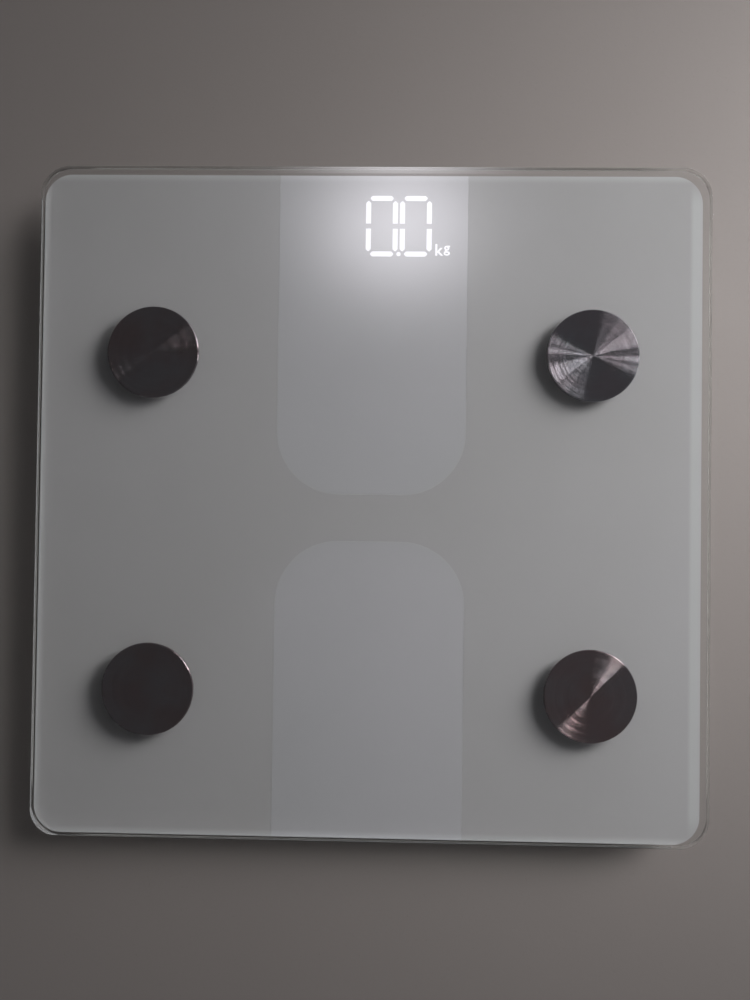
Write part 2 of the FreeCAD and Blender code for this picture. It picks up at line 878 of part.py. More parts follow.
def base_fittings(body):
    """Board posts, the unit button's hole, the battery leads' holes, and the bare label recess."""
    posts = Drawing(body, "floor_top")
    for x, y in board_post_places():
        posts.circle(x, y, "boss_radius")
    pad(body, posts, "board_post_height")
    post_holes = Drawing(body, "board_bottom")
    for x, y in board_post_places():
        post_holes.circle(x, y, "screw_radius + thread_gap")
    pocket(body, post_holes, "board_post_height", down=True)
    button = Drawing(body, "ground_gap")
    button.circle("button_x", "button_y", "button_radius + button_gap")
    pocket(body, button, "floor_thickness")
    light_room = Drawing(body, "board_top")
    light_room.rounded(
        "-light_box_width / 2 - board_gap",
        "light_box_front",
        "light_box_width / 2 + board_gap",
        "light_box_rear + board_gap",
        [None] * 4,
    )
    pocket(body, light_room, "base_top - board_top")
    lead_holes = Drawing(body, "-bay_half_length", "XZ_Plane")
    for side in (-1, 1):
        lead_holes.circle(
            signed(side, "1.5 * battery_pitch"),
            "battery_z",
            "battery_lead_radius + lead_hole_gap",
        )
    pocket(body, lead_holes, "bay_wall", down=True)
    label = Drawing(body, "ground_gap")
    label.box("0", "-label_y", "label_width", "label_depth")
    pocket(body, label, "label_recess")


def base_shell():
    body = new_body("base_shell")
    dish(body)
    base_blocks(body)
    base_wells(body)
    base_battery_box(body)
    base_cradles(body)
    base_fittings(body)
    return body


def base_ribs():
    """Upright bars on the tray's floor: rails that make the two lead channels, and
    ribs that stiffen it. They stop short of each other by a notch."""
    body = new_body("base_ribs")
    bars = Drawing(body, "floor_top")

    def along(x, start, end):
        half = "rib_thickness / 2"
        bars.rounded(f"{x} - {half}", start, f"{x} + {half}", end, [None] * 4)

    def across(y, start, end):
        half = "rib_thickness / 2"
        bars.rounded(start, f"{y} - {half}", end, f"{y} + {half}", [None] * 4)

    for side in (-1, 1):
        inner = signed(side, "inner_rail_x")
        outer = signed(side, "outer_rail_x")
        along(inner, "-cavity_floor_half_depth", "rail_end_y")
        along(outer, "-(foot_y - well_half)", "-front_contact_y - lead_slot / 2")
        along(outer, "-front_contact_y + lead_slot / 2", "rail_end_y")
        along(f"{side} * rib_pitch", "frame_half_length", "rail_end_y")
    for step in (-1, 0, 1):
        along(f"{step} * rib_pitch", "-cavity_floor_half_depth", "-frame_half_length")
    notch = "rib_thickness / 2 + rib_notch"
    for step in (-3, -2):
        y = f"{step} * rib_pitch"
        across(y, f"-inner_rail_x + {notch}", f"-rib_pitch - ({notch})")
        across(y, f"-rib_pitch + {notch}", f"-({notch})")
        across(y, notch, f"rib_pitch - ({notch})")
        across(y, f"rib_pitch + {notch}", f"inner_rail_x - ({notch})")
    for step in (-1.5, -0.5, 0.5, 1.5):
        y = f"{step} * rib_pitch"
        across(y, "-cavity_floor_half_width", f"-outer_rail_x - ({notch})")
        across(y, f"outer_rail_x + {notch}", "cavity_floor_half_width")
    pad(body, bars, "rib_height")
    return body


# ---- load cells and feet ----


def load_cell(corner):
    """Sprung steel plate: a square frame, and a tongue that a U-shaped slot sets free.

    The tongue's root points to the middle of the scale, where its lead goes.
    """
    body = new_body("load_cell_" + corner)
    outline = Drawing(body, "cell_bottom")
    rounded_block(outline, "cell_width / 2", "cell_width / 2", "cell_corner")
    pad(body, outline, "cell_thickness")
    slot = Drawing(body, "cell_bottom")
    inner, outer = "tongue_width / 2", "(tongue_width / 2 + tongue_slot)"
    tip = "-(tongue_tip + tongue_slot)"
    slot.polygon(
        [
            (f"-{outer}", "tongue_root"),
            (f"-{outer}", tip),
            (outer, tip),
            (outer, "tongue_root"),
            (inner, "tongue_root"),
            (inner, "-tongue_tip"),
            (f"-{inner}", "-tongue_tip"),
            (f"-{inner}", "tongue_root"),
        ]
    )
    pocket(body, slot, "cell_thickness")
    if CORNERS[corner][1] > 0:
        body.Placement.Rotation = FreeCAD.Rotation(FreeCAD.Vector(0, 0, 1), 180)
    return put(body, *foot_place(corner))


def gauge_sealant():
    """A blob of sealant over the strain gauge at each tongue's root."""
    body = new_body("gauge_sealant")
    blobs = Drawing(body, "cell_top")
    for corner in CORNERS:
        x, y = foot_place(corner)
        end = CORNERS[corner][1]
        blobs.box(x, f"{y} + {signed(-end, 'gauge_y')}", "gauge_width", "gauge_depth")
    pad(body, blobs, "gauge_height")
    dress(body, "Fillet", at_level("cell_top + gauge_height"), "gauge_height / 3")
    return body


def cell_retainer(corner):
    """Moulded plate screwed over the well. Four legs press the cell's frame against its seat."""
    body = new_body("cell_retainer_" + corner)
    half = "(well_width / 2 - retainer_gap)"
    plate = Drawing(body, "ground_gap")
    rounded_block(plate, half, half, "retainer_corner")
    pad(body, plate, "retainer_thickness")
    ears = Drawing(body, "ground_gap")
    rounded_block(ears, "ear_x + ear_radius", "ear_radius", "ear_radius - round_spare")
    pad(body, ears, "retainer_thickness")
    legs = Drawing(body, "ground_gap")
    for side in (-1, 1):
        for end in (-1, 1):
            reach = "cell_width / 2 - leg_inset - leg_width / 2"
            legs.box(signed(side, reach), signed(end, reach), "leg_width", "leg_width")
    pad(body, legs, "cell_bottom - ground_gap")
    holes = Drawing(body, "ground_gap")
    holes.circle("0", "0", "carrier_radius + foot_gap")
    for side in (-1, 1):
        holes.circle(signed(side, "ear_x"), "0", "screw_radius + screw_hole_gap")
    pocket(body, holes, "retainer_thickness")
    return put(body, *foot_place(corner))


def cross_recess(drawing, x, y):
    """A plus-shaped outline for a screw's driver recess."""
    long, short = "screw_cross / 2", "screw_cross_width / 2"
    quarter = [(long, short), (short, short), (short, long)]
    corners = []
    for turn in range(4):
        for across, along in quarter:
            for _ in range(turn):
                across, along = f"-({along})", across
            corners.append((f"{x} + {across}", f"{y} + {along}"))
    drawing.polygon(corners)


def screws(label, places, seat, length, down):
    """Pan head screws. The head lies on the seat, above it when the screw points down."""
    body = new_body(label)
    shanks = Drawing(body, seat)
    heads = Drawing(body, seat)
    for x, y in places:
        shanks.circle(x, y, "screw_radius")
        heads.circle(x, y, "screw_head_radius")
    pad(body, shanks, length, down=down)
    pad(body, heads, "screw_head_height", down=not down)
    outer = f"{seat} + screw_head_height" if down else f"{seat} - screw_head_height"
    dress(body, "Fillet", at_level(outer), "screw_head_height / 2")
    recess = Drawing(body, outer)
    for x, y in places:
        cross_recess(recess, x, y)
    pocket(body, recess, "screw_cross_depth", down=down)
    return body


def retainer_screws():
    places = []
    for corner in CORNERS:
        x, y = foot_place(corner)
        places += [(f"{x} + {signed(ear, 'ear_x')}", y) for ear in (-1, 1)]
    return screws("retainer_screws", places, "ground_gap", "screw_length", down=False)


def foot_carrier(corner):
    """Moulded foot: a disc, a flange caught behind the retainer, and a post under the tongue."""
    body = new_body("foot_carrier_" + corner)
    profile = Drawing(body, plane="XZ_Plane")
    profile.polygon(
        [
            ("0", "pad_thickness"),
            ("pad_radius + pad_fit", "pad_thickness"),
            ("pad_radius + pad_fit", "carrier_bottom"),
            ("carrier_radius - carrier_edge", "carrier_bottom"),
            ("carrier_radius", "carrier_bottom + carrier_edge"),
            ("carrier_radius", "flange_bottom"),
            ("flange_radius", "flange_bottom"),
            ("flange_radius", "flange_top"),
            ("post_radius", "flange_top"),
            ("post_radius", "cell_bottom"),
            ("0", "cell_bottom"),
        ]
    )
    revolve(body, profile)
    return put(body, *foot_place(corner))


def foot_pad(corner):
    """Rubber disc bonded into the carrier, with two ring grooves as tread."""
    body = new_body("foot_pad_" + corner)
    profile = Drawing(body, plane="XZ_Plane")
    grooves = []
    for ring in (0, 1):
        start = f"pad_radius - tread_inset + {ring} * tread_pitch"
        end = f"{start} + tread_width"
        grooves += [(start, "0"), (start, "tread_depth"), (end, "tread_depth"), (end, "0")]
    profile.polygon(
        [("0", "0")]
        + grooves
        + [
            ("pad_radius - pad_edge", "0"),
            ("pad_radius", "pad_edge"),
            ("pad_radius", "pad_thickness"),
            ("0", "pad_thickness"),
        ]
    )
    revolve(body, profile)
    return put(body, *foot_place(corner))


# ---- batteries and door ----


def battery_x(index):
    """The middle of battery 0 to 3, from the left."""
    return f"{index - 1.5} * battery_pitch"


def battery_cell(index):
    """A small round cell. Even ones point their positive end to the rear, odd ones to the front."""
    body = new_body(f"battery_cell_{index + 1}")
    profile = Drawing(body, plane="XZ_Plane")
    shoulder = "battery_length - nub_height"
    profile.polygon(
        [
            ("0", "0"),
            ("battery_radius - battery_edge", "0"),
            ("battery_radius", "battery_edge"),
            ("battery_radius", f"{shoulder} - battery_edge"),
            ("battery_radius - battery_edge", shoulder),
            ("nub_radius", shoulder),
            ("nub_radius", "battery_length"),
            ("0", "battery_length"),
        ]
    )
    revolve(body, profile)
    to_rear = index % 2 == 0
    body.Placement.Rotation = FreeCAD.Rotation(FreeCAD.Vector(1, 0, 0), -90 if to_rear else 90)
    base = "bay_half_length - plate_thickness - battery_length"
    return put(body, battery_x(index), signed(1 if to_rear else -1, base), "battery_z")


def contact_plates():
    """Sprung steel plates on the bay's end walls: three at the rear, two pairs at the front."""
    body = new_body("contact_plates")
    wide = "(plate_width + battery_pitch)"
    rows = (
        (1, (("-1.5 * battery_pitch", "plate_width"), ("0", wide), ("1.5 * battery_pitch", "plate_width"))),
        (-1, (("-battery_pitch", wide), ("battery_pitch", wide))),
    )
    for end, plates in rows:
        face = signed(end, "bay_half_length")
        drawing = Drawing(body, f"-({face})", "XZ_Plane")
        for x, width in plates:
            drawing.box(x, "battery_z", width, "plate_height")
        pad(body, drawing, "plate_thickness", down=end < 0)
    return body


def contact_springs():
    """A conical coil spring under each battery's negative end, wide at the plate."""
    rise = value("spring_length - 2 * spring_wire")
    wide, narrow = value("spring_wide"), value("spring_narrow")
    wire = value("spring_wire")
    lean = math.degrees(math.atan((wide - narrow) / rise))
    coil = Part.makeHelix(rise / value("spring_turns"), rise, narrow, lean)
    section = Part.Wire(
        Part.makeCircle(wire, FreeCAD.Vector(narrow, 0, 0), FreeCAD.Vector(0, 1, 0))
    )
    spring = Part.Wire(coil.Edges).makePipeShell([section], True, True)
    spring.translate(FreeCAD.Vector(0, 0, wire))
    face = value("bay_half_length - plate_thickness - spring_length")
    springs = []
    for index in range(4):
        end = -1 if index % 2 == 0 else 1
        turned = spring.copy()
        turned.rotate(FreeCAD.Vector(), FreeCAD.Vector(1, 0, 0), -90 * end)
        middle = (value(battery_x(index)), end * face, value("battery_z"))
        turned.translate(FreeCAD.Vector(*middle))
        springs.append(turned)
    feature = doc.addObject("Part::Feature", "contact_springs")
    feature.Label = "contact_springs"
    feature.Shape = Part.makeCompound(springs)
    return feature


def battery_door():
    """Flat lid with a hinge barrel and pins at the front and a sprung latch tongue at the rear."""
    body = new_body("battery_door")
    panel = Drawing(body, "ground_gap")
    panel.rounded(
        "-door_half_width",
        "-hinge_y",
        "door_half_width",
        "door_half_length",
        [None, None, "door_corner", "door_corner"],
    )
    pad(body, panel, "door_thickness")
    barrel = Drawing(body, "-door_half_width", "YZ_Plane")
    barrel.circle("-hinge_y", "hinge_z", "barrel_radius")
    pad(body, barrel, "2 * door_half_width")
    pins = Drawing(body, "-(door_half_width + pin_length)", "YZ_Plane")
    pins.circle("-hinge_y", "hinge_z", "pin_radius")
    pad(body, pins, "2 * (door_half_width + pin_length)")
    riser = Drawing(body, "ground_gap")
    riser.rounded(
        "-nose_width / 2",
        "door_half_length - nose_thickness",
        "nose_width / 2",
        "door_half_length",
        [None] * 4,
    )
    pad(body, riser, "door_thickness + door_seat_gap + nose_gap + nose_thickness")
    nose = Drawing(body, "door_seat + nose_gap")
    nose.rounded(
        "-nose_width / 2",
        "door_half_length - nose_thickness",
        "nose_width / 2",
        "door_half_length + door_gap + nose_reach",
        [None] * 4,
    )
    pad(body, nose, "nose_thickness")
    slots = Drawing(body, "ground_gap")
    for side in (-1, 1):
        middle = signed(side, "(latch_width + latch_slot) / 2")
        along = "door_half_length - latch_length / 2 + latch_slot_run"
        slots.box(middle, along, "latch_slot", "latch_length + 2 * latch_slot_run")
    pocket(body, slots, "door_thickness")
    grips = Drawing(body, "ground_gap")
    for step in range(3):
        y = f"door_half_length - latch_length / 2 + {step - 1} * grip_pitch"
        grips.box("0", y, "latch_width - 2 * grip_pitch", "grip_width")
    pad(body, grips, "grip_height", down=True)
    return body


# ---- board, readout and switch ----


def board_post_places():
    places = []
    for side in (-1, 1):
        for y in ("board_front + board_post_inset", "board_rear - board_post_inset"):
            places.append((signed(side, "board_post_x"), y))
    return places


def circuit_board():
    body = new_body("circuit_board")
    outline = Drawing(body, "board_bottom")
    outline.rounded(
        "-board_width / 2",
        "board_front",
        "board_width / 2",
        "board_rear",
        ["board_corner"] * 4,
    )
    for x, y in board_post_places():
        outline.circle(x, y, "screw_radius + screw_hole_gap")
    pad(body, outline, "board_thickness")
    return body


def board_screws():
    return screws("board_screws", board_post_places(), "board_top", "board_screw_length", down=True)


def segment_places(x):
    """The seven segments of one digit: the middle and whether it lies flat."""
    across = "(digit_width - segment_width) / 2"
    half = "(digit_height - segment_width) / 2"
    places = [(x, f"digit_y + {step} * {half}", True) for step in (-1, 0, 1)]
    for side in (-1, 1):
        for step in (-0.5, 0.5):
            places.append((f"{x} + {side} * {across}", f"digit_y + {step} * {half}", False))
    return places


def segment(drawing, x, y, flat):
    """A bar with pointed ends, as in a seven-segment digit."""
    if flat:
        reach = "((digit_width - segment_width) / 2 - segment_gap)"
    else:
        reach = "((digit_height - segment_width) / 4 - segment_gap)"
    half = "segment_width / 2"
    shoulder = f"({reach} - {half})"
    outline = [
        (f"-{reach}", "0"),
        (f"-{shoulder}", f"-{half}"),
        (shoulder, f"-{half}"),
        (reach, "0"),
        (shoulder, half),
        (f"-{shoulder}", half),
    ]
    if not flat:
        outline = [(f"-({v})", u) for u, v in outline]
    drawing.polygon([(f"{x} + {u}", f"{y} + {v}") for u, v in outline])


def repeat_digits(body, features):
    """Repeats the first digit's features for the other three digits."""
    pattern = body.newObject("PartDesign::LinearPattern", "Digits")
    pattern.Originals = features
    axis = next(f for f in body.Origin.OriginFeatures if f.Role == "X_Axis")
    pattern.Direction = (axis, [""])
    pattern.Occurrences = 4
    pattern.setExpression("Length", formula("3 * digit_pitch"))
    body.Tip = pattern


def display_light_box():
    """White box that keeps each segment's light apart from the next."""
    body = new_body("display_light_box")
    height = "light_box_top - board_top"
    outline = Drawing(body, "board_top")
    outline.rounded(
        "-light_box_width / 2",
        "light_box_front",
        "light_box_width / 2",
        "light_box_rear",
        [None] * 4,
    )
    pad(body, outline, height)
    wells = Drawing(body, "board_top")
    for x, y, flat in segment_places("-first_digit_x"):
        segment(wells, x, y, flat)
    first = pocket(body, wells, height)
    repeat_digits(body, [first])
    small = Drawing(body, "board_top")
    small.circle("dot_x", "digit_y - digit_height / 2 + dot_radius", "dot_radius")
    low = "digit_y - digit_height / 2"
    small.box("unit_window_x", f"{low} + unit_window_height / 2", "unit_window_width", "unit_window_height")
    pocket(body, small, height)
    return body


def diffuser_film():
    """Frosted film between the light box and the print."""
    body = new_body("diffuser_film")
    outline = Drawing(body, "light_box_top")
    outline.rounded(
        "-light_box_width / 2",
        "light_box_front",
        "light_box_width / 2",
        "light_box_rear",
        [None] * 4,
    )
    pad(body, outline, "diffuser_thickness")
    return body


def display_leds():
    """One surface-mounted LED under each segment, the point and the unit."""
    body = new_body("display_leds")
    chips = Drawing(body, "board_top")
    for x, y, flat in segment_places("-first_digit_x"):
        long, short = "led_length", "led_width"
        chips.box(x, y, long if flat else short, short if flat else long)
    first = pad(body, chips, "led_height")
    repeat_digits(body, [first])
    extra = Drawing(body, "board_top")
    low = "digit_y - digit_height / 2"
    extra.box("dot_x", f"{low} + dot_radius", "led_width", "led_width")
    extra.box("unit_window_x", f"{low} + unit_window_height / 2", "led_length", "led_width")
    pad(body, extra, "led_height")
    return body


def board_chips():
    """Processor, display driver, radio, coil and crystal, in a row in front of the light box."""
    body = new_body("board_chips")
    row = "(board_front + light_box_front) / 2 + connector_depth / 2"
    for chip in CHIPS:
        block = Drawing(body, "board_top")
        block.box(f"{chip}_x", row, f"{chip}_width", f"{chip}_depth")
        pad(body, block, f"{chip}_height")
    return body


def board_connectors():
    """Plug-in headers: two a side for the load cells, three at the front for the other leads."""
    body = new_body("board_connectors")
    blocks = Drawing(body, "board_top")
    for side in (-1, 1):
        x = signed(side, "(board_width - connector_depth) / 2")
        for y in ("front_cell_connector_y", "rear_cell_connector_y"):
            blocks.box(x, y, "connector_depth", "cell_connector_width")
    for step in (-1, 0, 1):
        y = "board_front + connector_depth / 2"
        blocks.box(f"{step} * contact_connector_x", y, "lead_connector_width", "connector_depth")
    pad(body, blocks, "connector_height")
    return body


def switch_body():
    """Tactile switch under the board, with a bore for its plunger."""
    body = new_body("switch_body")
    outline = Drawing(body, "switch_bottom")
    outline.box("0", "0", "switch_width", "switch_width")
    pad(body, outline, "board_bottom - switch_bottom")
    bore = Drawing(body, "switch_bottom")
    bore.circle("0", "0", "plunger_radius + plunger_gap")
    room = "plunger_length + button_top + button_travel - switch_bottom + plunger_gap"
    pocket(body, bore, room)
    return put(body, "button_x", "button_y")


def switch_plunger():
    """The switch's own plunger, which the unit button pushes."""
    body = new_body("switch_plunger")
    outline = Drawing(body, "button_top")
    outline.circle("0", "0", "plunger_radius")
    pad(body, outline, "plunger_length")
    return put(body, "button_x", "button_y")


def unit_button():
    """Cap in the base's floor that changes the unit, kept in by its flange."""
    body = new_body("unit_button")
    profile = Drawing(body, plane="XZ_Plane")
    profile.polygon(
        [
            ("0", "button_bottom"),
            ("button_radius - button_edge", "button_bottom"),
            ("button_radius", "button_bottom + button_edge"),
            ("button_radius", "button_flange_bottom"),
            ("button_flange_radius", "button_flange_bottom"),
            ("button_flange_radius", "button_top"),
            ("0", "button_top"),
        ]
    )
    revolve(body, profile)
    return put(body, "button_x", "button_y")


# ---- leads ----


def lead_path(points):
    """Straight runs joined by arcs as large as the two runs allow, and the smallest arc's radius."""
    edges = []
    start = points[0]
    smallest = math.inf
    for i in range(1, len(points) - 1):
        into = points[i] - points[i - 1]
        out = points[i + 1] - points[i]
        reach = 0.45 * min(into.Length, out.Length)
        before = points[i] - FreeCAD.Vector(into).normalize() * reach
        after = points[i] + FreeCAD.Vector(out).normalize() * reach
        turn = into.getAngle(out)
        sideways = FreeCAD.Vector(out).normalize() - FreeCAD.Vector(into).normalize()
        radius = reach / math.tan(turn / 2)
        smallest = min(smallest, radius)
        middle = points[i] + sideways.normalize() * (radius / math.cos(turn / 2) - radius)
        edges.append(Part.LineSegment(start, before).toShape())
        edges.append(Part.Arc(before, middle, after).toShape())
        start = after
    edges.append(Part.LineSegment(start, points[-1]).toShape())
    return Part.Wire(edges), smallest


def tube(label, points, radius):
    """A round lead along the path, its length checked against its volume."""
    places = [FreeCAD.Vector(value(x), value(y), value(z)) for x, y, z in points]
    path, smallest = lead_path(places)
    print(f"{label}: smallest bend {smallest / radius / 2:.1f} diameters")
    ring = Part.makeCircle(radius, places[0], places[1] - places[0])
    solid = path.makePipeShell([Part.Wire(ring)], True, False)
    if abs(solid.Volume / (math.pi * radius**2 * path.Length) - 1) > 0.01:
        raise ValueError("a lead's volume doesn't match its length")
    return solid


def leads(label, routes, radius):
    feature = doc.addObject("Part::Feature", label)
    feature.Label = label
    solids = [tube(label, route, value(radius)) for route in routes]
    feature.Shape = solids[0] if len(solids) == 1 else Part.makeCompound(solids)
    return feature


def cell_lead(corner):
    """From the gauge, out through the well's wall, along the channel, to the board's side."""
    side, end = CORNERS[corner]
    x, y = foot_place(corner)
    down = "floor_top + cell_lead_radius"
    connector = signed(side, "board_width / 2")
    channel = signed(side, "inner_rail_x + 8")
    y = f"{y} + {signed(-end, 'cell_lead_y')}"
    start = (f"{x} - {signed(side, 'gauge_width / 2')}", y, "cell_lead_z")
    mouth = (f"{x} - {signed(side, 'well_half + 8')}", y, "cell_lead_z")
    if end > 0:
        plug_y = "rear_cell_connector_y"
        route = [
            start,
            mouth,
            (signed(side, "board_width / 2 + 18"), plug_y, "connector_z"),
            (connector, plug_y, "connector_z"),
        ]
    else:
        plug_y = "front_cell_connector_y"
        route = [
            start,
            mouth,
            (channel, f"{y} + 6", f"{down} + 3"),
            (channel, f"{y} + 24", down),
            (channel, f"{plug_y} - 26", down),
            (signed(side, "board_width / 2 + 14"), f"{plug_y} - 4", f"{down} + 4"),
            (signed(side, "board_width / 2 + 6"), plug_y, "connector_z"),
            (connector, plug_y, "connector_z"),
        ]
    return leads("cell_lead_" + corner, [route], "cell_lead_radius")


def contact_lead(corner):
    """From the ring terminal's crimp to the header at the front of the board."""
    side, end = CORNERS[corner]
    x, y = contact_place(corner)
    down = "floor_top + contact_lead_radius"
    crimp_z = "print_bottom - terminal_barrel_height / 2"
    start = (f"{x} - {signed(side, 'terminal_tongue_length')}", y, crimp_z)
    if end > 0:
        plug_x = signed(side, "contact_connector_x + lead_spacing")
        route = [
            start,
            (f"{x} - {signed(side, 'terminal_tongue_length + 4')}", y, crimp_z),
            (f"{x} - {signed(side, 'terminal_tongue_length + 12')}", f"{y} + 1", "connector_z + 1.5"),
            (signed(side, "contact_connector_x + 12"), f"{y} + 4", "connector_z"),
            (plug_x, "board_front - 8", "connector_z"),
            (plug_x, "board_front", "connector_z"),
        ]
    else:
        plug_x = signed(side, "contact_connector_x - lead_spacing")
        channel = signed(side, "outer_rail_x - 6")
        route = [
            start,
            (signed(side, "outer_rail_x"), y, crimp_z),
            (channel, f"{y} + 4", f"{down} + 5"),
            (channel, f"{y} + 20", down),
            (channel, "rail_end_y - 10", down),
            (signed(side, "outer_rail_x - 8"), "rail_end_y + 3", f"{down} + 4"),
            (signed(side, "inner_rail_x - 10"), "rail_end_y + 8", f"{down} + 4"),
            (plug_x, "board_front - 14", "connector_z - 2"),
            (plug_x, "board_front - 6", "connector_z"),
            (plug_x, "board_front", "connector_z"),
        ]
    return leads("contact_lead_" + corner, [route], "contact_lead_radius")


def battery_leads():
    """The supply pair, from the outer rear plates to the middle header."""
    routes = []
    for side in (-1, 1):
        x = signed(side, "1.5 * battery_pitch")
        plug_x = signed(side, "lead_spacing")
        routes.append(
            [
                (x, "bay_half_length", "battery_z"),
                (x, "bay_half_length + 12", "battery_z"),
                (plug_x, "board_front - 12", "connector_z"),
                (plug_x, "board_front", "connector_z"),
            ]
        )
    return leads("battery_leads", routes, "battery_lead_radius")


# ---- build, check and write ----


def build():
    pieces = [
        glass_platform(),
        white_print(),
        arch_print("rear_arch_print", 1),
        arch_print("front_arch_print", -1),
        contact_tape(),
        contact_terminals(),
        contact_nuts(),
        bonding_tape(),
        foam_pads(),
        base_shell(),
        base_ribs(),
        gauge_sealant(),
        retainer_screws(),
        circuit_board(),
        board_screws(),
        display_light_box(),
        diffuser_film(),
        display_leds(),
        board_chips(),
        board_connectors(),
        switch_body(),
        switch_plunger(),
        unit_button(),
        contact_plates(),
        contact_springs(),
        battery_door(),
        battery_leads(),
    ]
    for corner in CORNERS:
        pieces.append(contact(corner))
        pieces.append(load_cell(corner))
        pieces.append(cell_retainer(corner))
        pieces.append(foot_carrier(corner))
        pieces.append(foot_pad(corner))
        pieces.append(cell_lead(corner))
        pieces.append(contact_lead(corner))
    for index in range(4):
        pieces.append(battery_cell(index))
    return pieces


def check(pieces):
    """Every object has to be whole before anything is written."""
    for item in doc.Objects:
        if "Invalid" in item.State or "Error" in item.State:
            raise ValueError(f"{item.Label} did not compute")
    for piece in pieces:
        if piece.Shape.isNull() or not piece.Shape.isValid() or not piece.Shape.Solids:
            raise ValueError(f"{piece.Label} has no valid solid")


pieces = build()
doc.recompute()
check(pieces)
os.makedirs("parts", exist_ok=True)
for piece in pieces:
    piece.Shape.exportStep(f"parts/{piece.Label}.step")
print(len(pieces), "sub-parts written")
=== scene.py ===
from math import cos, pi, radians, sin

import bmesh
import bpy
from mathutils import Matrix, Vector


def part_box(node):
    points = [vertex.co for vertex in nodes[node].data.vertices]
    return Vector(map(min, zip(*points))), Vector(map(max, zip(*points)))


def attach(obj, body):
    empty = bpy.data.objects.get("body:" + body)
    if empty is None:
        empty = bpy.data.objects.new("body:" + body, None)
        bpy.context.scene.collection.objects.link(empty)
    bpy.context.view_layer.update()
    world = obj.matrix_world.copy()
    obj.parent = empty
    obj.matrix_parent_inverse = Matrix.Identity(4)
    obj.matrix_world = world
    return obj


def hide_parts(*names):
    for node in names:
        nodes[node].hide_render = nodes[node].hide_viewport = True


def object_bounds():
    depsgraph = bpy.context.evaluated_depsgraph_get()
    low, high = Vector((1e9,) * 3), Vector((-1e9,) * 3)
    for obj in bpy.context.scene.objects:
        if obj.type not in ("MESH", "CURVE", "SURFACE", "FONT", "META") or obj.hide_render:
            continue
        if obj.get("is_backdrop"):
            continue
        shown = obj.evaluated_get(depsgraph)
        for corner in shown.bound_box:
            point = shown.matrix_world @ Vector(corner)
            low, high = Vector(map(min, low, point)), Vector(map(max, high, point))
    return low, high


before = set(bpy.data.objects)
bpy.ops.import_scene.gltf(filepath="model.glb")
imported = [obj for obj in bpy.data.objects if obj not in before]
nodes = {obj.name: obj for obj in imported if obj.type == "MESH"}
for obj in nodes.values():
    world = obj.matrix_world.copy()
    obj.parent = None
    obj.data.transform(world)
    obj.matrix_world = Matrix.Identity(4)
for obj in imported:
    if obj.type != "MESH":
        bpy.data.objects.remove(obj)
cad_low, cad_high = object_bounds()


# ---- Floor, lamps and camera ----
# The scale stands on a plain pale stoneware floor with a dull, cloudy glaze, open from below.
# A window of three panes and two soft boxes light it from the right and behind, under a dim
# sky. Three narrow strips show only in the steel, and one lamp lights the underside.


class Amount:
    """An amount that changes over a surface. Sums written with it add Math nodes."""

    def __init__(self, finish, socket):
        self.finish = finish
        self.socket = socket

    def __add__(self, other):
        return self.finish.maths("ADD", self, other)

    __radd__ = __add__

    def __sub__(self, other):
        return self.finish.maths("SUBTRACT", self, other)

    def __rsub__(self, other):
        return self.finish.maths("SUBTRACT", other, self)

    def __mul__(self, other):
        return self.finish.maths("MULTIPLY", self, other)

    __rmul__ = __mul__

    def __truediv__(self, other):
        return self.finish.maths("DIVIDE", self, other)

    def __pow__(self, other):
        return self.finish.maths("POWER", self, other)

    def __rpow__(self, other):
        return self.finish.maths("POWER", other, self)

    def __mod__(self, other):
        return self.finish.maths("FLOORED_MODULO", self, other)

    def __abs__(self):
        return self.finish.maths("ABSOLUTE", self)

    def __gt__(self, other):
        return self.finish.maths("GREATER_THAN", self, other)

    def __lt__(self, other):
        return self.finish.maths("LESS_THAN", self, other)

    def least(self, other):
        return self.finish.maths("MINIMUM", self, other)

    def most(self, other):
        return self.finish.maths("MAXIMUM", self, other)

    def whole(self):
        return self.finish.maths("FLOOR", self)

    def fade(self):
        """1 at nought, falling away softly as the amount grows."""
        return 2.718 ** (self * -1)

    def rise(self, start, end):
        """0 at start, 1 at end, with soft shoulders."""
        settings = {"interpolation_type": "SMOOTHSTEP"}
        return self.finish.node("MapRange", settings, {"Value": self, 1: start, 2: end})

    def band(self, middle, half, soft):
        """1 within half of the middle, falling to 0 over the soft width outside it."""
        return 1 - abs(self - middle).rise(half, half + soft)


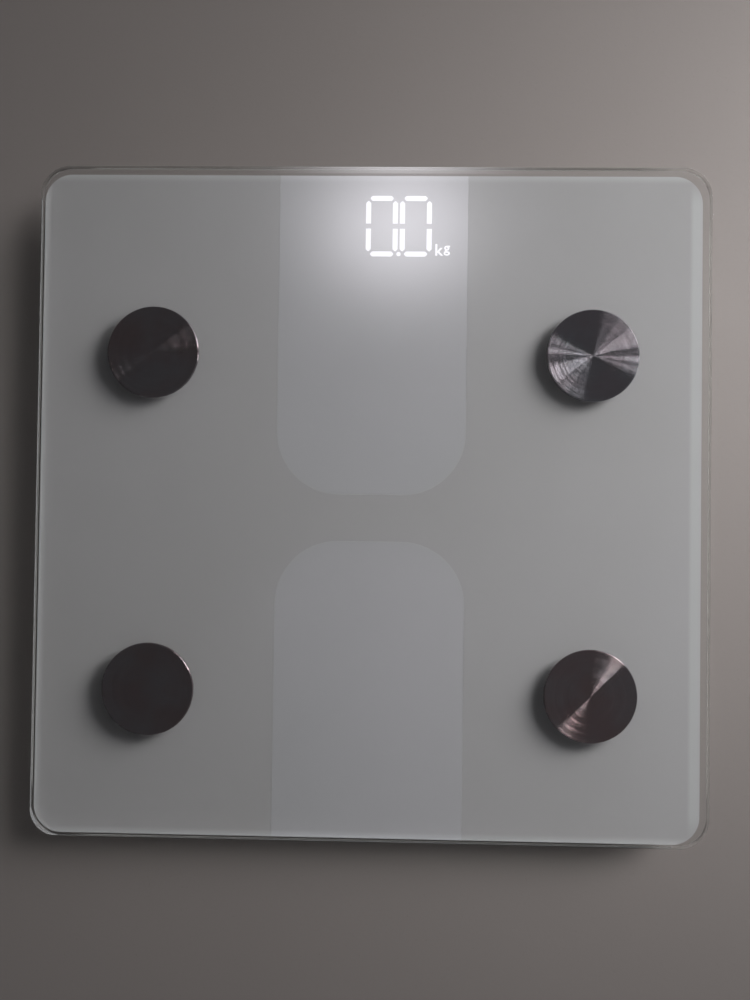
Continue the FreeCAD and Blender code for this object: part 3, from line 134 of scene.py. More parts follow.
class Nodes:
    """The nodes of a material or of the sky, laid on a place."""

    def __init__(self, tree, place):
        self.tree = tree
        self.place = self.node("TexCoord", output=place)
        self.x, self.y, self.z = self.parts(self.place)

    def node(self, kind, settings=None, sockets=None, output=0):
        """Any node: its settings first, then the values or links of its sockets."""
        made = self.tree.nodes.new("ShaderNode" + kind)
        for name, value in (settings or {}).items():
            setattr(made, name, value)
        for name, value in (sockets or {}).items():
            self.feed(made.inputs[name], value)
        return Amount(self, made.outputs[output])

    def feed(self, socket, value):
        if isinstance(value, Amount):
            self.tree.links.new(value.socket, socket)
        else:
            socket.default_value = value

    def maths(self, operation, *amounts):
        return self.node("Math", {"operation": operation}, dict(enumerate(amounts)))

    def parts(self, vector):
        split = self.node("SeparateXYZ", {}, {0: vector})
        return [Amount(self, output) for output in split.socket.node.outputs]

    def stretched(self, x, y, z):
        """The piece's place, stretched for streaks and strokes."""
        return self.node("VectorMath", {"operation": "MULTIPLY"}, {0: self.place, 1: (x, y, z)})

    def noise(self, scale, detail=3, place=None):
        sockets = {"Vector": place or self.place, "Scale": scale, "Detail": detail}
        sockets["Roughness"] = 0.55
        return self.node("TexNoise", {}, sockets)

    def cells(self, scale):
        return self.node("TexVoronoi", {}, {"Vector": self.place, "Scale": scale}, "Distance")

    def between(self, first, second, share):
        """A colour from the first to the second, by a share."""
        return self.node("Mix", {"data_type": "RGBA"}, {0: share, 6: first, 7: second}, 2)

    def relief(self, height, depth, under=None):
        """Bump of a depth in metres, on top of another relief if there is one."""
        sockets = {"Height": height, "Distance": depth, "Strength": 1.0}
        if under:
            sockets["Normal"] = under
        return self.node("Bump", {}, sockets)


class Finish(Nodes):
    """A material: one Principled shader and the nodes that feed it, on the piece's own place."""

    def __init__(self, name, **surface):
        self.material = bpy.data.materials.new(name)
        self.material.use_nodes = True
        super().__init__(self.material.node_tree, "Object")
        self.shader = self.tree.nodes["Principled BSDF"]
        self.lay(**surface)

    def lay(self, **surface):
        """Sets the shader's own sockets, such as Base_Color or Roughness."""
        for name, value in surface.items():
            self.feed(self.shader.inputs[name.replace("_", " ")], value)

    def open_where(self, share, tint=(1, 1, 1, 1)):
        """Lets light straight through by a share. The rest goes to the surface's own shader."""
        own = Amount(self, self.shader.outputs[0])
        clear = self.node("BsdfTransparent", {}, {"Color": tint})
        seen = self.node("MixShader", {}, {0: share, 1: own, 2: clear})
        self.feed(self.tree.nodes["Material Output"].inputs["Surface"], seen)


def paint(red, green, blue):
    """A colour from its three parts as a screen shows them, 0 to 255."""
    return tuple((part / 255) ** 2.2 for part in (red, green, blue)) + (1.0,)


def shape(name, bm, finish, edge=35):
    """An object from a finished mesh, soft on its curves and crisp on its edges."""
    bmesh.ops.remove_doubles(bm, verts=bm.verts[:], dist=1e-7)
    bmesh.ops.recalc_face_normals(bm, faces=bm.faces[:])
    mesh = bpy.data.meshes.new(name)
    bm.to_mesh(mesh)
    bm.free()
    mesh.shade_smooth()
    mesh.set_sharp_from_angle(angle=radians(edge))
    mesh.materials.append(finish.material)
    piece = bpy.data.objects.new(name, mesh)
    bpy.context.scene.collection.objects.link(piece)
    return piece


floor_half = 9
glaze_ripple = 0.00004

stoneware = Finish("stoneware_glaze", Specular_IOR_Level=0.25)
cloud = stoneware.noise(3.5, 4)
speck = stoneware.noise(900, 2)
floor_tint = stoneware.between(paint(131, 125, 123), paint(138, 132, 130), cloud)
floor_tint = stoneware.between(floor_tint, paint(124, 117, 114), speck.rise(0.62, 0.78) * 0.5)
stoneware.lay(Base_Color=floor_tint)
stoneware.lay(Roughness=0.5 + 0.14 * stoneware.noise(40, 3))
stoneware.lay(Normal=stoneware.relief(stoneware.noise(350, 3), glaze_ripple))
from_below = stoneware.node("NewGeometry", output="Backfacing")
stoneware.open_where(from_below.most(stoneware.node("LightPath", output="Is Shadow Ray")))

bm = bmesh.new()
bmesh.ops.create_grid(bm, x_segments=2, y_segments=2, size=floor_half)
floor = shape("floor", bm, stoneware)
floor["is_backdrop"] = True

sky_level = 0.075
sky_lean = 0.055
sky_haze = 0.21

sky = bpy.data.worlds.new("studio_sky")
sky.use_nodes = True
room = Nodes(sky.node_tree, "Generated")
lamp_side = 0.5 + 0.43 * room.x + 0.25 * room.y
low_down = (1 - abs(room.z)) ** 2
air = sky.node_tree.nodes["Background"]
air.inputs["Color"].default_value = (0.97, 0.98, 1.0, 1)
sky_strength = sky_level + sky_lean * room.x + sky_haze * low_down * lamp_side
room.feed(air.inputs["Strength"], sky_strength)
bpy.context.scene.world = sky


def soft_lamp(name, place, target, width, height, watts, spread=180):
    """A soft box at a place, turned to a target."""
    light = bpy.data.lights.new(name, "AREA")
    light.shape = "RECTANGLE"
    light.size = width
    light.size_y = height
    light.energy = watts
    light.spread = radians(spread)
    light.color = (1.0, 0.99, 0.98)
    lamp = bpy.data.objects.new(name, light)
    lamp.location = place
    lamp.rotation_euler = (Vector(target) - lamp.location).to_track_quat("-Z", "Y").to_euler()
    lamp.visible_camera = False
    lamp.visible_transmission = False
    bpy.context.scene.collection.objects.link(lamp)
    return lamp


scale_middle = (0, 0, 0)
rear_right_contact = (0.098, 0.066, 0.026)
window_distance = 2.70
window_middle = 1.31
window_height = 1.15

near_lamp = soft_lamp("near_lamp", (0.487, 0.259, 0.431), (0.22, 0.07, 0), 0.26, 0.34, 0.94, 84)
near_lamp.visible_glossy = False
low_lamp = soft_lamp("low_lamp", (0.62, 0.22, 0.25), scale_middle, 0.20, 0.10, 0.26)
low_lamp.visible_glossy = False
for angle, width, watts in ((30, 0.76, 25.3), (45, 0.445, 6.8), (57, 0.52, 3.5)):
    x = window_distance * cos(radians(angle))
    y = window_distance * sin(radians(angle))
    pane = (x, y, window_middle)
    soft_lamp("window_lamp", pane, scale_middle, width, window_height, watts)
for y, width, watts in ((0.059, 0.024, 0.062), (0.105, 0.021, 0.085), (0.138, 0.009, 0.010)):
    strip = soft_lamp("strip_lamp", (0.35, y, 0.176), rear_right_contact, width, 0.15, watts)
    strip.visible_diffuse = False
soft_lamp("under_lamp", (-0.45, -0.35, -0.85), scale_middle, 0.80, 0.80, 4)

camera_lens = bpy.data.cameras.new("camera")
camera_lens.lens = 28.8
camera_lens.sensor_width = 36
camera_lens.clip_start = 0.01
camera = bpy.data.objects.new("camera", camera_lens)
camera.location = (0.0099, -0.0050, 0.3798)
camera.rotation_euler = (radians(1.00), radians(1.23), radians(0.73))
bpy.context.scene.collection.objects.link(camera)
bpy.context.scene.camera = camera
bpy.context.scene.view_settings.view_transform = "Standard"


# ---- Glass platform ----
# One pane of toughened float glass, 6 mm thick, with a ground and polished edge, drilled
# under each contact. The printed coats are fired onto its back. Light from the readout runs
# in the pane and comes out at the bare rim behind it, painted there as a glow on the glass.

corners = ("rear_left", "rear_right", "front_left", "front_right")
glass_low, glass_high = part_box("glass_platform")
print_bond = 0.00003
glass_back = glass_low.z - print_bond
glass_corner = 0.013
glass_edge_round = 0.0007
stud_hole = 0.0026
green_edge = (0.1490, 0.1499)
bare_rim = (0.1468, 0.1474)
painted_rim_glow_strength = 0.14
float_ripple = 0.000006

readout_x = 0.0121
glow_width = 0.0370
glow_tint = (1.0, 0.97, 1.03, 1)
unlit = (0, 0, 0, 1)

clear_glass = Finish("clear_glass", Roughness=0.0, IOR=1.5, Transmission_Weight=1.0)
glass_side = abs(clear_glass.x).most(abs(clear_glass.y)).rise(*green_edge)
glass_cloud = clear_glass.noise(6, 2)
glass_tint = clear_glass.between((0.982, 0.992, 0.988, 1), (0.988, 0.995, 0.992, 1), glass_cloud)
glass_tint = clear_glass.between(glass_tint, (0.84, 0.93, 0.90, 1), glass_side * 0.5)
clear_glass.lay(Base_Color=glass_tint)
clear_glass.lay(Normal=clear_glass.relief(clear_glass.noise(9, 1), float_ripple))
# Painted glow: an emission on the glass along the bare rear rim, standing for the readout's light
# piped through the pane.
along_rim = (clear_glass.x - readout_x) / glow_width
painted_rim_glow = clear_glass.y.rise(*bare_rim) * (along_rim * along_rim).fade() * painted_rim_glow_strength
clear_glass.lay(Emission_Color=clear_glass.between(unlit, glow_tint, painted_rim_glow))
clear_glass.lay(Emission_Strength=1.0)
lamp_ray = clear_glass.node("LightPath", output="Is Shadow Ray")
clear_glass.open_where(lamp_ray, (0.985, 0.992, 0.989, 1))


def thicken(bm, thickness):
    """Raises a flat outline into a slab."""
    raised = bmesh.ops.extrude_face_region(bm, geom=bm.faces[:])
    lifted = [item for item in raised["geom"] if isinstance(item, bmesh.types.BMVert)]
    bmesh.ops.translate(bm, verts=lifted, vec=(0, 0, thickness))


bm = bmesh.new()
bmesh.ops.create_grid(bm, x_segments=1, y_segments=1, size=glass_high.x)
bmesh.ops.translate(bm, verts=bm.verts[:], vec=(0, 0, glass_back))
bmesh.ops.bevel(
    bm, geom=bm.verts[:], offset=glass_corner, offset_type="OFFSET", affect="VERTICES",
    segments=20, profile=0.5, material=-1, clamp_overlap=True,
)
bmesh.ops.delete(bm, geom=bm.faces[:], context="FACES_ONLY")
for corner in corners:
    contact_low, contact_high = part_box("contact_" + corner)
    hole = (contact_low + contact_high) / 2
    centre = Matrix.Translation((hole.x, hole.y, glass_back))
    bmesh.ops.create_circle(bm, cap_ends=False, segments=40, radius=stud_hole, matrix=centre)
bmesh.ops.triangle_fill(bm, use_beauty=True, use_dissolve=False, edges=bm.edges[:])
thicken(bm, glass_high.z - glass_back)
bmesh.ops.recalc_face_normals(bm, faces=bm.faces[:])
outer_rim = [
    edge for edge in bm.edges
    if len(edge.link_faces) == 2
    and abs(edge.verts[0].co.z - edge.verts[1].co.z) < 1e-6
    and max(abs(part) for vert in edge.verts for part in vert.co[:2]) > 0.14
    and edge.calc_face_angle(0) > radians(60)
]
bmesh.ops.bevel(
    bm, geom=outer_rim, offset=glass_edge_round, offset_type="OFFSET", affect="EDGES",
    segments=4, profile=0.5, material=-1, clamp_overlap=True,
)
glass = shape("glass_pane", bm, clear_glass, 30)
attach(glass, "base")
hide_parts("glass_platform")


# ---- Printed coats ----
# White ceramic ink is screened onto the back of the glass and fired on, with two lighter
# arches in it. The rear arch is thin enough for the readout to shine through, and that light
# is painted as a glow in the ink.


def dress(finish, *names):
    """Lays a finish on CAD nodes."""
    for name in names:
        for slot in nodes[name].material_slots:
            slot.material = finish.material


readout_y = 0.1246
glow_lift = 0.0012
glow_height = 0.0315
ink_grain_depth = 0.000004
# How far the painted light of the rim and of the right band reaches into the ink.
painted_rim_light_reach = 0.0036
painted_right_light_reach = (0.0036, 0.0060)
painted_right_light_ends = (0.001, 0.014)


def ink(name, pale, dull, light, painted_glow):
    """Fired ink: a fine screen grain, faint clouds, a painted paler rim and right band that stand
    for light getting in through the glass edge, and a painted glow of the readout's light in it by a
    share."""
    coat = Finish(name, IOR=1.5, Specular_IOR_Level=0.02, Emission_Strength=1.0)
    grain = coat.noise(2600, 2)
    clouds = coat.noise(9, 3)
    tint = coat.between(dull, pale, (grain * 0.45 + clouds * 0.75).rise(0.35, 0.85))
    ink_low, ink_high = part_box("white_print")
    from_left = coat.x - ink_low.x
    from_right = ink_high.x - coat.x
    from_end = (coat.y - ink_low.y).least(ink_high.y - coat.y)
    # Painted light: the ink is mixed towards its light colour along the rim and in a band on the
    # right, standing for light let in by the glass edge.
    painted_rim_light = 1 - from_left.least(from_end).rise(0.0, painted_rim_light_reach)
    painted_right_light = (1 - from_right.rise(*painted_right_light_reach)) * from_end.rise(*painted_right_light_ends)
    painted_rim_light = painted_rim_light.most(painted_right_light)
    # Painted glow: an emission in the ink round the readout, standing for the light box shining
    # through the print.
    along = (coat.x - readout_x) / glow_width
    up = (coat.y - readout_y - glow_lift) / glow_height
    spread = (along * along + up * up).fade() * painted_glow
    coat.lay(Base_Color=coat.between(tint, light, painted_rim_light), Roughness=0.55 + grain * 0.1)
    coat.lay(Normal=coat.relief(grain, ink_grain_depth))
    coat.lay(Emission_Color=coat.between(unlit, glow_tint, spread))
    return coat


# The last number is each ink's share of the painted readout glow.
white_ink = ink("white_ink", paint(158, 157, 159), paint(153, 152, 153), paint(169, 169, 171), 0.22)
dress(white_ink, "white_print")
arch_ink = ink("arch_ink", paint(164, 163, 167), paint(159, 159, 162), paint(176, 176, 180), 0.40)
dress(arch_ink, "rear_arch_print", "front_arch_print")


# ---- Lit readout ----
# Two of the four digits are lit, both noughts, with the point between them and the unit
# low on the right. Each bar is a window in the light box, seen through the thin ink.

print_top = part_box("rear_arch_print")[1].z
lit_thickness = 0.00001
lit_digits = (0.00365, 0.01896)
digit_half_width = 0.0072
digit_half_height = 0.0137
bar_width = 0.0023
bar_point = 0.00095
bar_reach = 0.0003
bar_gap = 0.0004
middle_gap = 0.0023
point_x = 0.0113
point_lift = 0.0011
point_radius = 0.00095
letter_weight = 0.00013

lit = Finish("lit_bar", Emission_Strength=1.0)
lit_cloud = lit.noise(420, 2)
lit.lay(Base_Color=lit.between(paint(120, 120, 124), paint(132, 132, 136), lit_cloud))
lit.lay(Emission_Color=lit.between((0.84, 0.82, 0.86, 1), (0.96, 0.95, 0.98, 1), lit_cloud))
lit.lay(Roughness=0.45 + 0.2 * lit_cloud)


def lit_bar(bm, x, y, length, flat, blunt=0):
    """One lit bar, with pointed ends. blunt is the end that stays square: 1 up, -1 down."""
    made = bmesh.ops.create_grid(bm, x_segments=1, y_segments=1, size=0.5)["verts"]
    bmesh.ops.scale(bm, vec=(length, bar_width, 1), verts=made)
    pointed = [vert for vert in made if vert.co.x * blunt <= 0]
    kept = [vert for vert in made if vert not in pointed]
    cut = bmesh.ops.bevel(
        bm, geom=pointed, offset=bar_point, offset_type="OFFSET", affect="VERTICES",
        segments=1, profile=0.5, material=-1, clamp_overlap=True,
    )["verts"]
    made = list(set(kept + cut))
    turn = Matrix.Rotation(0 if flat else pi / 2, 4, "Z")
    bmesh.ops.transform(bm, matrix=Matrix.Translation((x, y, 0)) @ turn, verts=made)


bm = bmesh.new()
side_x = digit_half_width - bar_width / 2
side_length = digit_half_height - bar_width - bar_gap + bar_reach - middle_gap / 2
side_y = middle_gap / 2 + side_length / 2
flat_length = 2 * (digit_half_width - bar_width + bar_reach)
for digit_x in lit_digits:
    for end in (-1, 1):
        flat_y = readout_y + end * (digit_half_height - bar_width / 2)
        lit_bar(bm, digit_x, flat_y, flat_length, True)
        for side in (-1, 1):
            upright_x = digit_x + side * side_x
            lit_bar(bm, upright_x, readout_y + end * side_y, side_length, False, -end)
point = Matrix.Translation((point_x, readout_y - digit_half_height + point_lift, 0))
bmesh.ops.create_circle(bm, cap_ends=True, segments=32, radius=point_radius, matrix=point)
thicken(bm, lit_thickness)
bmesh.ops.translate(bm, verts=bm.verts[:], vec=(0, 0, print_top))
digits = shape("lit_digits", bm, lit)
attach(digits, "base")

bm = bmesh.new()
for letter, size, left, foot in (("k", 0.0074, 0.0275, 0.1115), ("g", 0.0062, 0.0317, 0.1130)):
    lettering = bpy.data.curves.new("unit_letter", "FONT")
    lettering.body = letter
    lettering.size = size
    lettering.offset = letter_weight
    lettering.extrude = lit_thickness / 2
    letter_piece = bpy.data.objects.new("unit_letter", lettering)
    bpy.context.scene.collection.objects.link(letter_piece)
    bpy.context.view_layer.update()
    letter_mesh = bpy.data.meshes.new_from_object(letter_piece)
    bpy.data.objects.remove(letter_piece)
    letter_mesh.transform(Matrix.Translation((left, foot, print_top + lit_thickness / 2)))
    bm.from_mesh(letter_mesh)
unit = shape("lit_unit", bm, lit)
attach(unit, "base")


# ---- Foot contacts ----
# Four round electrodes, turned from stainless bar and faced with a fine feed, so that each
# mirrors in bright fans. A thin ring of acrylic tape bonds each one to the glass.

mark_width = 0.000004
passes_per_metre = 1500.0
centre_pip = 0.0006
eased_width = 0.0004
eased_lean = 0.9


def turned_steel(name, middle, edge, grey, painted_warm_reflection):
    """Stainless steel with turning marks round a middle and an eased corner from the edge out."""
    steel = Finish(name, Metallic=1.0)
    across = steel.x - middle.x
    up = steel.y - middle.y
    radius = (across * across + up * up) ** 0.5
    by_radius = {"noise_dimensions": "1D"}
    marks = steel.node("TexWhiteNoise", by_radius, {"W": (radius / mark_width).whole()})
    passes = steel.node("TexNoise", by_radius, {"W": radius, "Scale": passes_per_metre})
    swing = marks - 0.5
    lean = swing * swing * swing * (4.6 + 1.2 * passes)
    face = (radius + 0.0001).rise(0.0, centre_pip) * (steel.z > middle.z)
    past_edge = (radius - edge) / eased_width
    on_corner = (past_edge > 0.03) * (past_edge < 0.97) * (steel.z > middle.z)
    eased = (past_edge - 0.5) * eased_lean * on_corner
    push = (lean * face + eased) / (radius + 0.00001)
    slope = steel.node("CombineXYZ", {}, {"X": across * push, "Y": up * push, "Z": 0.0})
    true = steel.node("NewGeometry", output="Normal")
    tilted = steel.node("VectorMath", {"operation": "ADD"}, {0: true, 1: slope})
    tilted = steel.node("VectorMath", {"operation": "NORMALIZE"}, {0: tilted})
    # Painted reflection: warm brownish patches standing for the room the steel mirrors; the same
    # patches vary the roughness.
    painted_reflection_patch = steel.noise(46, 4).rise(0.3, 0.7)
    tint = steel.between(grey, painted_warm_reflection, painted_reflection_patch)
    steel.lay(Base_Color=steel.between(tint, paint(126, 118, 120), marks * 0.2))
    steel.lay(Roughness=0.09 + 0.06 * painted_reflection_patch, Normal=tilted)
    return steel


# The steel is the same on all four contacts; their different grey and warm tints are painted
# reflection.
for corner, grey, painted_warm_reflection in (
    ("rear_left", paint(167, 163, 168), paint(163, 147, 149)),
    ("rear_right", paint(166, 167, 174), paint(161, 153, 160)),
    ("front_left", paint(167, 163, 168), paint(163, 147, 149)),
    ("front_right", paint(168, 161, 165), paint(166, 146, 148)),
):
    contact_low, contact_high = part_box("contact_" + corner)
    middle = (contact_low + contact_high) / 2
    edge = contact_high.x - middle.x - eased_width
    steel = turned_steel("turned_steel_" + corner, middle, edge, grey, painted_warm_reflection)
    dress(steel, "contact_" + corner)

adhesive = Finish("acrylic_tape", IOR=1.47, Coat_Weight=0.3)
bubbles = adhesive.cells(2200)
adhesive.lay(Base_Color=adhesive.between(paint(96, 94, 92), paint(112, 110, 108), bubbles))
adhesive.lay(Roughness=0.35 + 0.2 * bubbles)
adhesive.lay(Normal=adhesive.relief(adhesive.noise(1800, 2), 0.00003))
dress(adhesive, "contact_tape")


# ---- Stud nuts and ring terminals ----
# A nickel-plated nut under each stud clamps a stamped ring terminal of tinned brass
# against the back of the glass.


def plated(name, bright, dull, brushed=(1, 1, 1), grain=500, rough=0.28):
    """Plated or rolled metal: long fine strokes, handling stains and dull patches."""
    metal = Finish(name, Metallic=1.0)
    strokes = metal.noise(grain, 3, metal.stretched(*brushed))
    stains = metal.noise(60, 4)
    tint = metal.between(dull, bright, (strokes * 0.6 + stains * 0.6).rise(0.3, 0.9))
    metal.lay(Base_Color=tint, Roughness=rough + 0.16 * stains + 0.08 * strokes)
    metal.lay(Normal=metal.relief(strokes, 0.00002))
    return metal


dress(plated("nickel_nut", paint(205, 200, 190), paint(160, 154, 146)), "contact_nuts")
tinned = plated("tinned_brass", paint(214, 212, 206), paint(170, 166, 158), (8, 1, 1), 300, 0.32)
dress(tinned, "contact_terminals")


# ---- Bonding tape and foam ----
# White closed-cell foam tape runs round the rim and holds the glass to the base.
# Squares of the same foam carry the glass over the four cells and the battery box.

foam = Finish("white_foam")
pores = foam.cells(1500)
foam_cloud = foam.noise(90, 3)
foam_tint = foam.between(paint(205, 204, 200), paint(228, 227, 223), pores.rise(0.05, 0.45))
grey_patch = foam_cloud.rise(0.5, 0.8) * 0.4
foam.lay(Base_Color=foam.between(foam_tint, paint(196, 193, 186), grey_patch))
foam.lay(Roughness=0.85 - 0.1 * pores)
foam.lay(Normal=foam.relief(pores.rise(0.0, 0.4), 0.00012))
dress(foam, "bonding_tape", "foam_pads")


# ---- Base shell ----
# One tray of white ABS, moulded in a spark-textured tool, with ribs and rails inside.
# Ejector pins left faint rings on it, and handling has scuffed its bottom edge.


def moulded(name, pale, shade, texture=1400, depth=0.00003, rough=0.46):
    """Moulded plastic: spark texture, slow colour drift and light scuffs."""
    plastic = Finish(name, IOR=1.53, Specular_IOR_Level=0.45)
    spark = plastic.noise(texture, 3)
    drift = plastic.noise(7, 3)
    scuff = plastic.noise(55, 5, plastic.stretched(1, 0.25, 1)).rise(0.60, 0.78)
    tint = plastic.between(shade, pale, (drift * 0.8 + spark * 0.4).rise(0.3, 0.9))
    plastic.lay(Base_Color=plastic.between(tint, shade, scuff * 0.35))
    plastic.lay(Roughness=rough + 0.12 * spark + 0.10 * scuff)
    plastic.lay(Normal=plastic.relief(spark, depth))
    return plastic


base_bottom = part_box("base_shell")[0].z
pin_pair_x, pin_pair_y = 0.062, 0.058
pin_spread_x, pin_spread_y = 0.0155, 0.0345
pin_radius = 0.0036
pin_line, pin_soft = 0.00010, 0.00012
underside_depth = 0.0012
worn_from, worn_to = 0.0002, 0.0016
abs_pale = paint(214, 214, 211)
abs_shade = paint(199, 199, 195)

base_plastic = moulded("base_plastic", abs_pale, abs_shade)
pin_x = abs(abs(base_plastic.x) - pin_pair_x) - pin_spread_x
pin_y = abs(abs(base_plastic.y) - pin_pair_y) - pin_spread_y
pin_ring = (pin_x * pin_x + pin_y * pin_y) ** 0.5
under = base_plastic.z < base_bottom + underside_depth
pin_mark = pin_ring.band(pin_radius, pin_line, pin_soft) * under
worn = 1 - base_plastic.z.rise(base_bottom + worn_from, base_bottom + worn_to)
worn = worn * base_plastic.noise(700, 5, base_plastic.stretched(1, 0.2, 1)).rise(0.50, 0.80)
base_tint = base_plastic.between(abs_shade, abs_pale, base_plastic.noise(8, 3))
base_plastic.lay(Base_Color=base_plastic.between(base_tint, paint(172, 170, 164), worn * 0.30))
spark_relief = base_plastic.relief(base_plastic.noise(1400, 3), 0.00003)
base_plastic.lay(Normal=base_plastic.relief(1 - pin_mark, 0.00006, spark_relief))
dress(base_plastic, "base_shell", "base_ribs")


# ---- Load cells, sealant and retainers ----
# Each cell is a stamped plate of spring steel whose tongue bends under load. White
# silicone covers its gauges, and a moulded frame with two screws holds it in its well.

sealant = Finish("sealant", IOR=1.41, Coat_Weight=0.4, Coat_Roughness=0.2)
lumps = sealant.noise(500, 3)
sealant.lay(Base_Color=sealant.between(paint(214, 214, 210), paint(232, 232, 228), lumps))
sealant.lay(Roughness=0.35 + 0.15 * lumps, Normal=sealant.relief(lumps, 0.0003))
dress(sealant, "gauge_sealant")

cell_steel = plated("cell_steel", paint(190, 190, 192), paint(140, 140, 143), (1, 14, 1), 240, 0.30)
retainer_pale = paint(206, 206, 203)
retainer_shade = paint(188, 188, 184)
retainer_plastic = moulded("retainer_plastic", retainer_pale, retainer_shade, 1700, 0.00002, 0.4)
for corner in corners:
    dress(cell_steel, "load_cell_" + corner)
    dress(retainer_plastic, "cell_retainer_" + corner)
screw_steel = plated("screw_steel", paint(196, 194, 190), paint(142, 139, 134))
dress(screw_steel, "retainer_screws", "board_screws")


# ---- Feet ----
# Each foot is a moulded carrier that presses on its cell's tongue, with a soft rubber
# pad pushed into it. Two ring grooves let the pad grip a wet floor.

tread_depth = (0.0001, 0.0006)
carrier_pale = paint(192, 193, 192)
carrier_shade = paint(172, 173, 172)
carrier_plastic = moulded("carrier_plastic", carrier_pale, carrier_shade, 1600, 0.00002, 0.42)
rubber = Finish("pad_rubber", IOR=1.52, Specular_IOR_Level=0.3)
bloom = rubber.noise(120, 4)
dust = rubber.noise(1300, 3).rise(0.55, 0.75)
rubber_tint = rubber.between(paint(92, 93, 94), paint(108, 109, 109), bloom)
tread = 1 - rubber.z.rise(*tread_depth)
rubber_tint = rubber.between(rubber_tint, paint(150, 147, 142), dust * tread * 0.5)
rubber.lay(Base_Color=rubber_tint, Roughness=0.62 + 0.2 * bloom)
rubber.lay(Normal=rubber.relief(rubber.noise(1600, 3), 0.00004))
for corner in corners:
    dress(carrier_plastic, "foot_carrier_" + corner)
    dress(rubber, "foot_pad_" + corner)


# ---- Batteries, springs and contact plates ----
# Four AAA cells lie side by side in the bay, each turned end for end from the next.
# They wear plain shrink sleeves, and press on coil springs and nickelled steel plates.

crisp = 0.0001
pale_from = 0.0108
stripe_at, stripe_half = -0.0175, 0.0004
plus_at, plus_arm, plus_stroke = 0.0148, 0.0018, 0.00045
cap_from = (0.02145, 0.0215)
can_from = (0.0217, 0.0218)
can_radius = 0.0046

for number in (1, 2, 3, 4):
    cell_low, cell_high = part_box(f"battery_cell_{number}")
    middle = (cell_low + cell_high) / 2
    end = 1 if number in (1, 3) else -1
    wrap = Finish(f"battery_jacket_{number}", Coat_Weight=0.5, Coat_Roughness=0.12)
    along = (wrap.y - middle.y) * end
    across = wrap.x - middle.x
    height = wrap.z - middle.z
    off_axis = (across * across + height * height) ** 0.5
    shrink = wrap.noise(300, 4, wrap.stretched(1, 0.15, 1))
    sleeve = wrap.between(paint(70, 84, 96), paint(82, 96, 108), shrink)
    pale_sleeve = paint(206, 209, 208)
    sleeve = wrap.between(sleeve, pale_sleeve, along.rise(pale_from, pale_from + crisp))
    sleeve = wrap.between(sleeve, pale_sleeve, along.band(stripe_at, stripe_half, crisp))
    upright = along.band(plus_at, plus_arm, crisp) * across.band(0, plus_stroke, crisp)
    level = along.band(plus_at, plus_stroke, crisp) * across.band(0, plus_arm, crisp)
    sleeve = wrap.between(sleeve, paint(58, 66, 76), upright.most(level))
    bare_can = (0 - along).rise(*can_from) * (off_axis < can_radius)
    bare = along.rise(*cap_from).most(bare_can)
    rub = wrap.noise(90, 5).rise(0.58, 0.8)
    metal = wrap.between(paint(196, 194, 188), paint(160, 157, 150), rub)
    wrap.lay(Base_Color=wrap.between(sleeve, metal, bare), Metallic=bare)
    wrap.lay(Roughness=0.28 + 0.2 * rub, Normal=wrap.relief(shrink, 0.00003))
    dress(wrap, f"battery_cell_{number}")
spring_steel = plated("spring_steel", paint(204, 202, 196), paint(156, 152, 145), (1, 1, 1), 700, 0.22)
dress(spring_steel, "contact_plates", "contact_springs")


# ---- Battery door ----
# A snap-in lid of the same ABS as the base, hinged on two moulded pins at the front and
# held by a springy tongue at the rear. A plain raised arrow points to the tongue.

door_plastic = moulded("door_plastic", paint(212, 212, 209), paint(198, 198, 194))
dress(door_plastic, "battery_door")

arrow_y = 0.0085
arrow_proud = 0.0004
arrow_sunk = 0.0001
arrow_ease = 0.00018
head_y, neck_y, tail_y = 0.0068, 0.0012, -0.0068
head_half, shaft_half = 0.0046, 0.0016
outline = [(0, head_y), (-head_half, neck_y), (-shaft_half, neck_y), (-shaft_half, tail_y)]
outline += [(-x, y) for x, y in reversed(outline[1:])]
bm = bmesh.new()
bm.faces.new([bm.verts.new((x, y, 0)) for x, y in outline])
thicken(bm, arrow_proud + arrow_sunk)
bmesh.ops.recalc_face_normals(bm, faces=bm.faces[:])
proud_edges = [edge for edge in bm.edges if max(vert.co.z for vert in edge.verts) < 1e-6]
bmesh.ops.bevel(
    bm, geom=proud_edges, offset=arrow_ease, offset_type="OFFSET", affect="EDGES",
    segments=3, profile=0.5, material=-1, clamp_overlap=True,
)
bmesh.ops.translate(bm, verts=bm.verts[:], vec=(0, arrow_y, base_bottom - arrow_proud))
arrow = shape("door_arrow", bm, door_plastic)
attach(arrow, "battery_door")


# ---- Circuit board and readout parts ----
# A board of green glass-epoxy carries the chips, the headers and the readout. A white
# light box stands over its diodes, under a milky film that evens their light.

pitch = 0.00254
patch_width, patch_depth = 0.0117, 0.0091
track_half, track_soft = 0.05, 0.02
board_middle, board_half, cut_soft = 0.0103, 0.00072, 0.00002

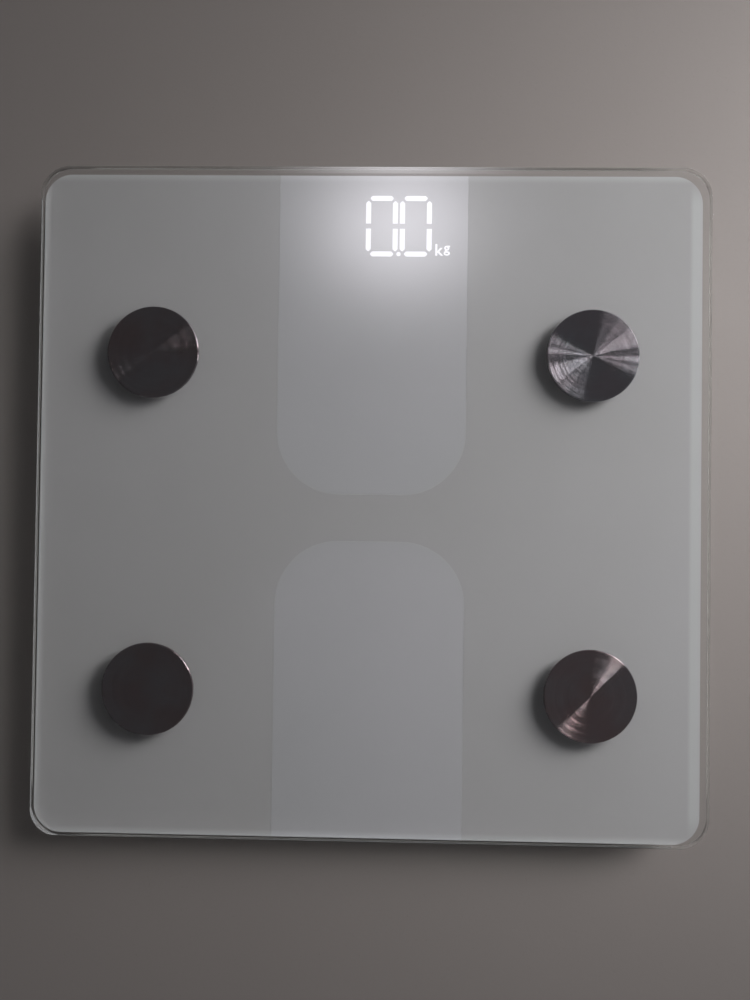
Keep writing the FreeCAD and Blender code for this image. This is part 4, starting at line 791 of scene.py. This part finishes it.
board = Finish("board_laminate", IOR=1.55, Coat_Weight=0.6, Coat_Roughness=0.15)
row = (board.x / pitch + (board.y / patch_depth).whole() * 0.37) % 1
column = (board.y / pitch + (board.x / patch_width).whole() * 0.53) % 1
blocks = {"Vector": board.place, "Scale": 140}
picked = board.node("TexVoronoi", {"distance": "CHEBYCHEV"}, blocks, "Color")
pick_way, pick_bare = board.parts(picked)[:2]
rows = row.band(0.5, track_half, track_soft) * (pick_way > 0.5)
columns = column.band(0.5, track_half, track_soft) * (pick_way < 0.5)
trace = rows.most(columns) * (pick_bare > 0.25)
mask_cloud = board.noise(70, 3)
mask_tint = board.between(paint(22, 74, 50), paint(28, 86, 58), mask_cloud)
mask_tint = board.between(mask_tint, paint(48, 112, 74), trace * 0.8)
masked = 1 - board.z.band(board_middle, board_half, cut_soft)
weave = board.noise(1500, 2, board.stretched(1, 1, 6))
weave_tint = board.between(paint(168, 158, 112), paint(188, 178, 132), weave)
board.lay(Base_Color=board.between(weave_tint, mask_tint, masked))
board.lay(Roughness=0.38 + 0.15 * mask_cloud)
board.lay(Normal=board.relief(trace, 0.000035))
dress(board, "circuit_board")

film = Finish("diffuser", IOR=1.5)
film_haze = film.noise(1900, 3)
film.lay(Base_Color=film.between(paint(222, 224, 226), paint(236, 238, 240), film_haze))
film.lay(Roughness=0.5 + 0.2 * film_haze, Normal=film.relief(film_haze, 0.00001))
dress(film, "diffuser_film")
resin = Finish("led_resin", IOR=1.5, Coat_Weight=0.3)
phosphor = resin.cells(900)
resin_share = phosphor.rise(0.25, 0.45)
resin.lay(Base_Color=resin.between(paint(230, 214, 120), paint(236, 234, 224), resin_share))
resin.lay(Roughness=0.3 + 0.3 * phosphor, Normal=resin.relief(phosphor, 0.00003))
dress(resin, "display_leds")
for node, name, pale, shade, texture, rough in (
    ("display_light_box", "light_box_plastic", paint(232, 232, 230), paint(218, 218, 214), 1800, 0.5),
    ("board_chips", "chip_epoxy", paint(48, 48, 50), paint(38, 38, 40), 2600, 0.5),
    ("board_connectors", "connector_plastic", paint(226, 220, 200), paint(212, 205, 184), 1900, 0.42),
):
    dress(moulded(name, pale, shade, texture, 0.00002, rough), node)


# ---- Unit button and its switch ----
# A press on the small button under the base works a tact switch on the board, and the
# readout changes its unit. The button is moulded, the switch is black nylon.

button_pale = paint(160, 161, 162)
button_shade = paint(146, 147, 148)
button_plastic = moulded("button_plastic", button_pale, button_shade, 1800, 0.00002, 0.4)
dress(button_plastic, "unit_button")
switch_black = moulded("switch_black", paint(44, 44, 46), paint(34, 34, 36), 2200, 0.00002, 0.45)
dress(switch_black, "switch_body", "switch_plunger")


# ---- Leads ----
# Soft PVC wires run from the cells, the contacts and the batteries to the board headers.
# They lie in the channels of the base, and their jackets are slightly glossy.


def jacket(name, bright, dull):
    """An extruded wire jacket: drawn lengthways, with a faint sheen."""
    pvc = Finish(name, IOR=1.53, Coat_Weight=0.25, Coat_Roughness=0.3)
    drawn = pvc.noise(900, 3)
    smudge = pvc.noise(80, 4)
    pvc.lay(Base_Color=pvc.between(dull, bright, (drawn * 0.4 + smudge * 0.7).rise(0.3, 0.8)))
    pvc.lay(Roughness=0.36 + 0.18 * smudge, Normal=pvc.relief(drawn, 0.00002))
    return pvc


cell_jacket = jacket("cell_lead_jacket", paint(206, 206, 202), paint(188, 188, 184))
contact_jacket = jacket("contact_lead_jacket", paint(70, 84, 118), paint(58, 70, 100))
for corner in corners:
    dress(cell_jacket, "cell_lead_" + corner)
    dress(contact_jacket, "contact_lead_" + corner)
supply = jacket("battery_lead_jacket", paint(172, 44, 40), paint(150, 36, 34))
supply_drawn = supply.noise(900, 3)
supply_red = supply.between(paint(150, 36, 34), paint(172, 44, 40), supply_drawn)
supply_black = supply.between(paint(40, 40, 42), paint(52, 52, 54), supply_drawn)
supply.lay(Base_Color=supply.between(supply_black, supply_red, supply.x > 0))
dress(supply, "battery_leads")


low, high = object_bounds()
size = {
    "cad": [list(cad_low), list(cad_high)],
    "visual": [list(low), list(high)],
}
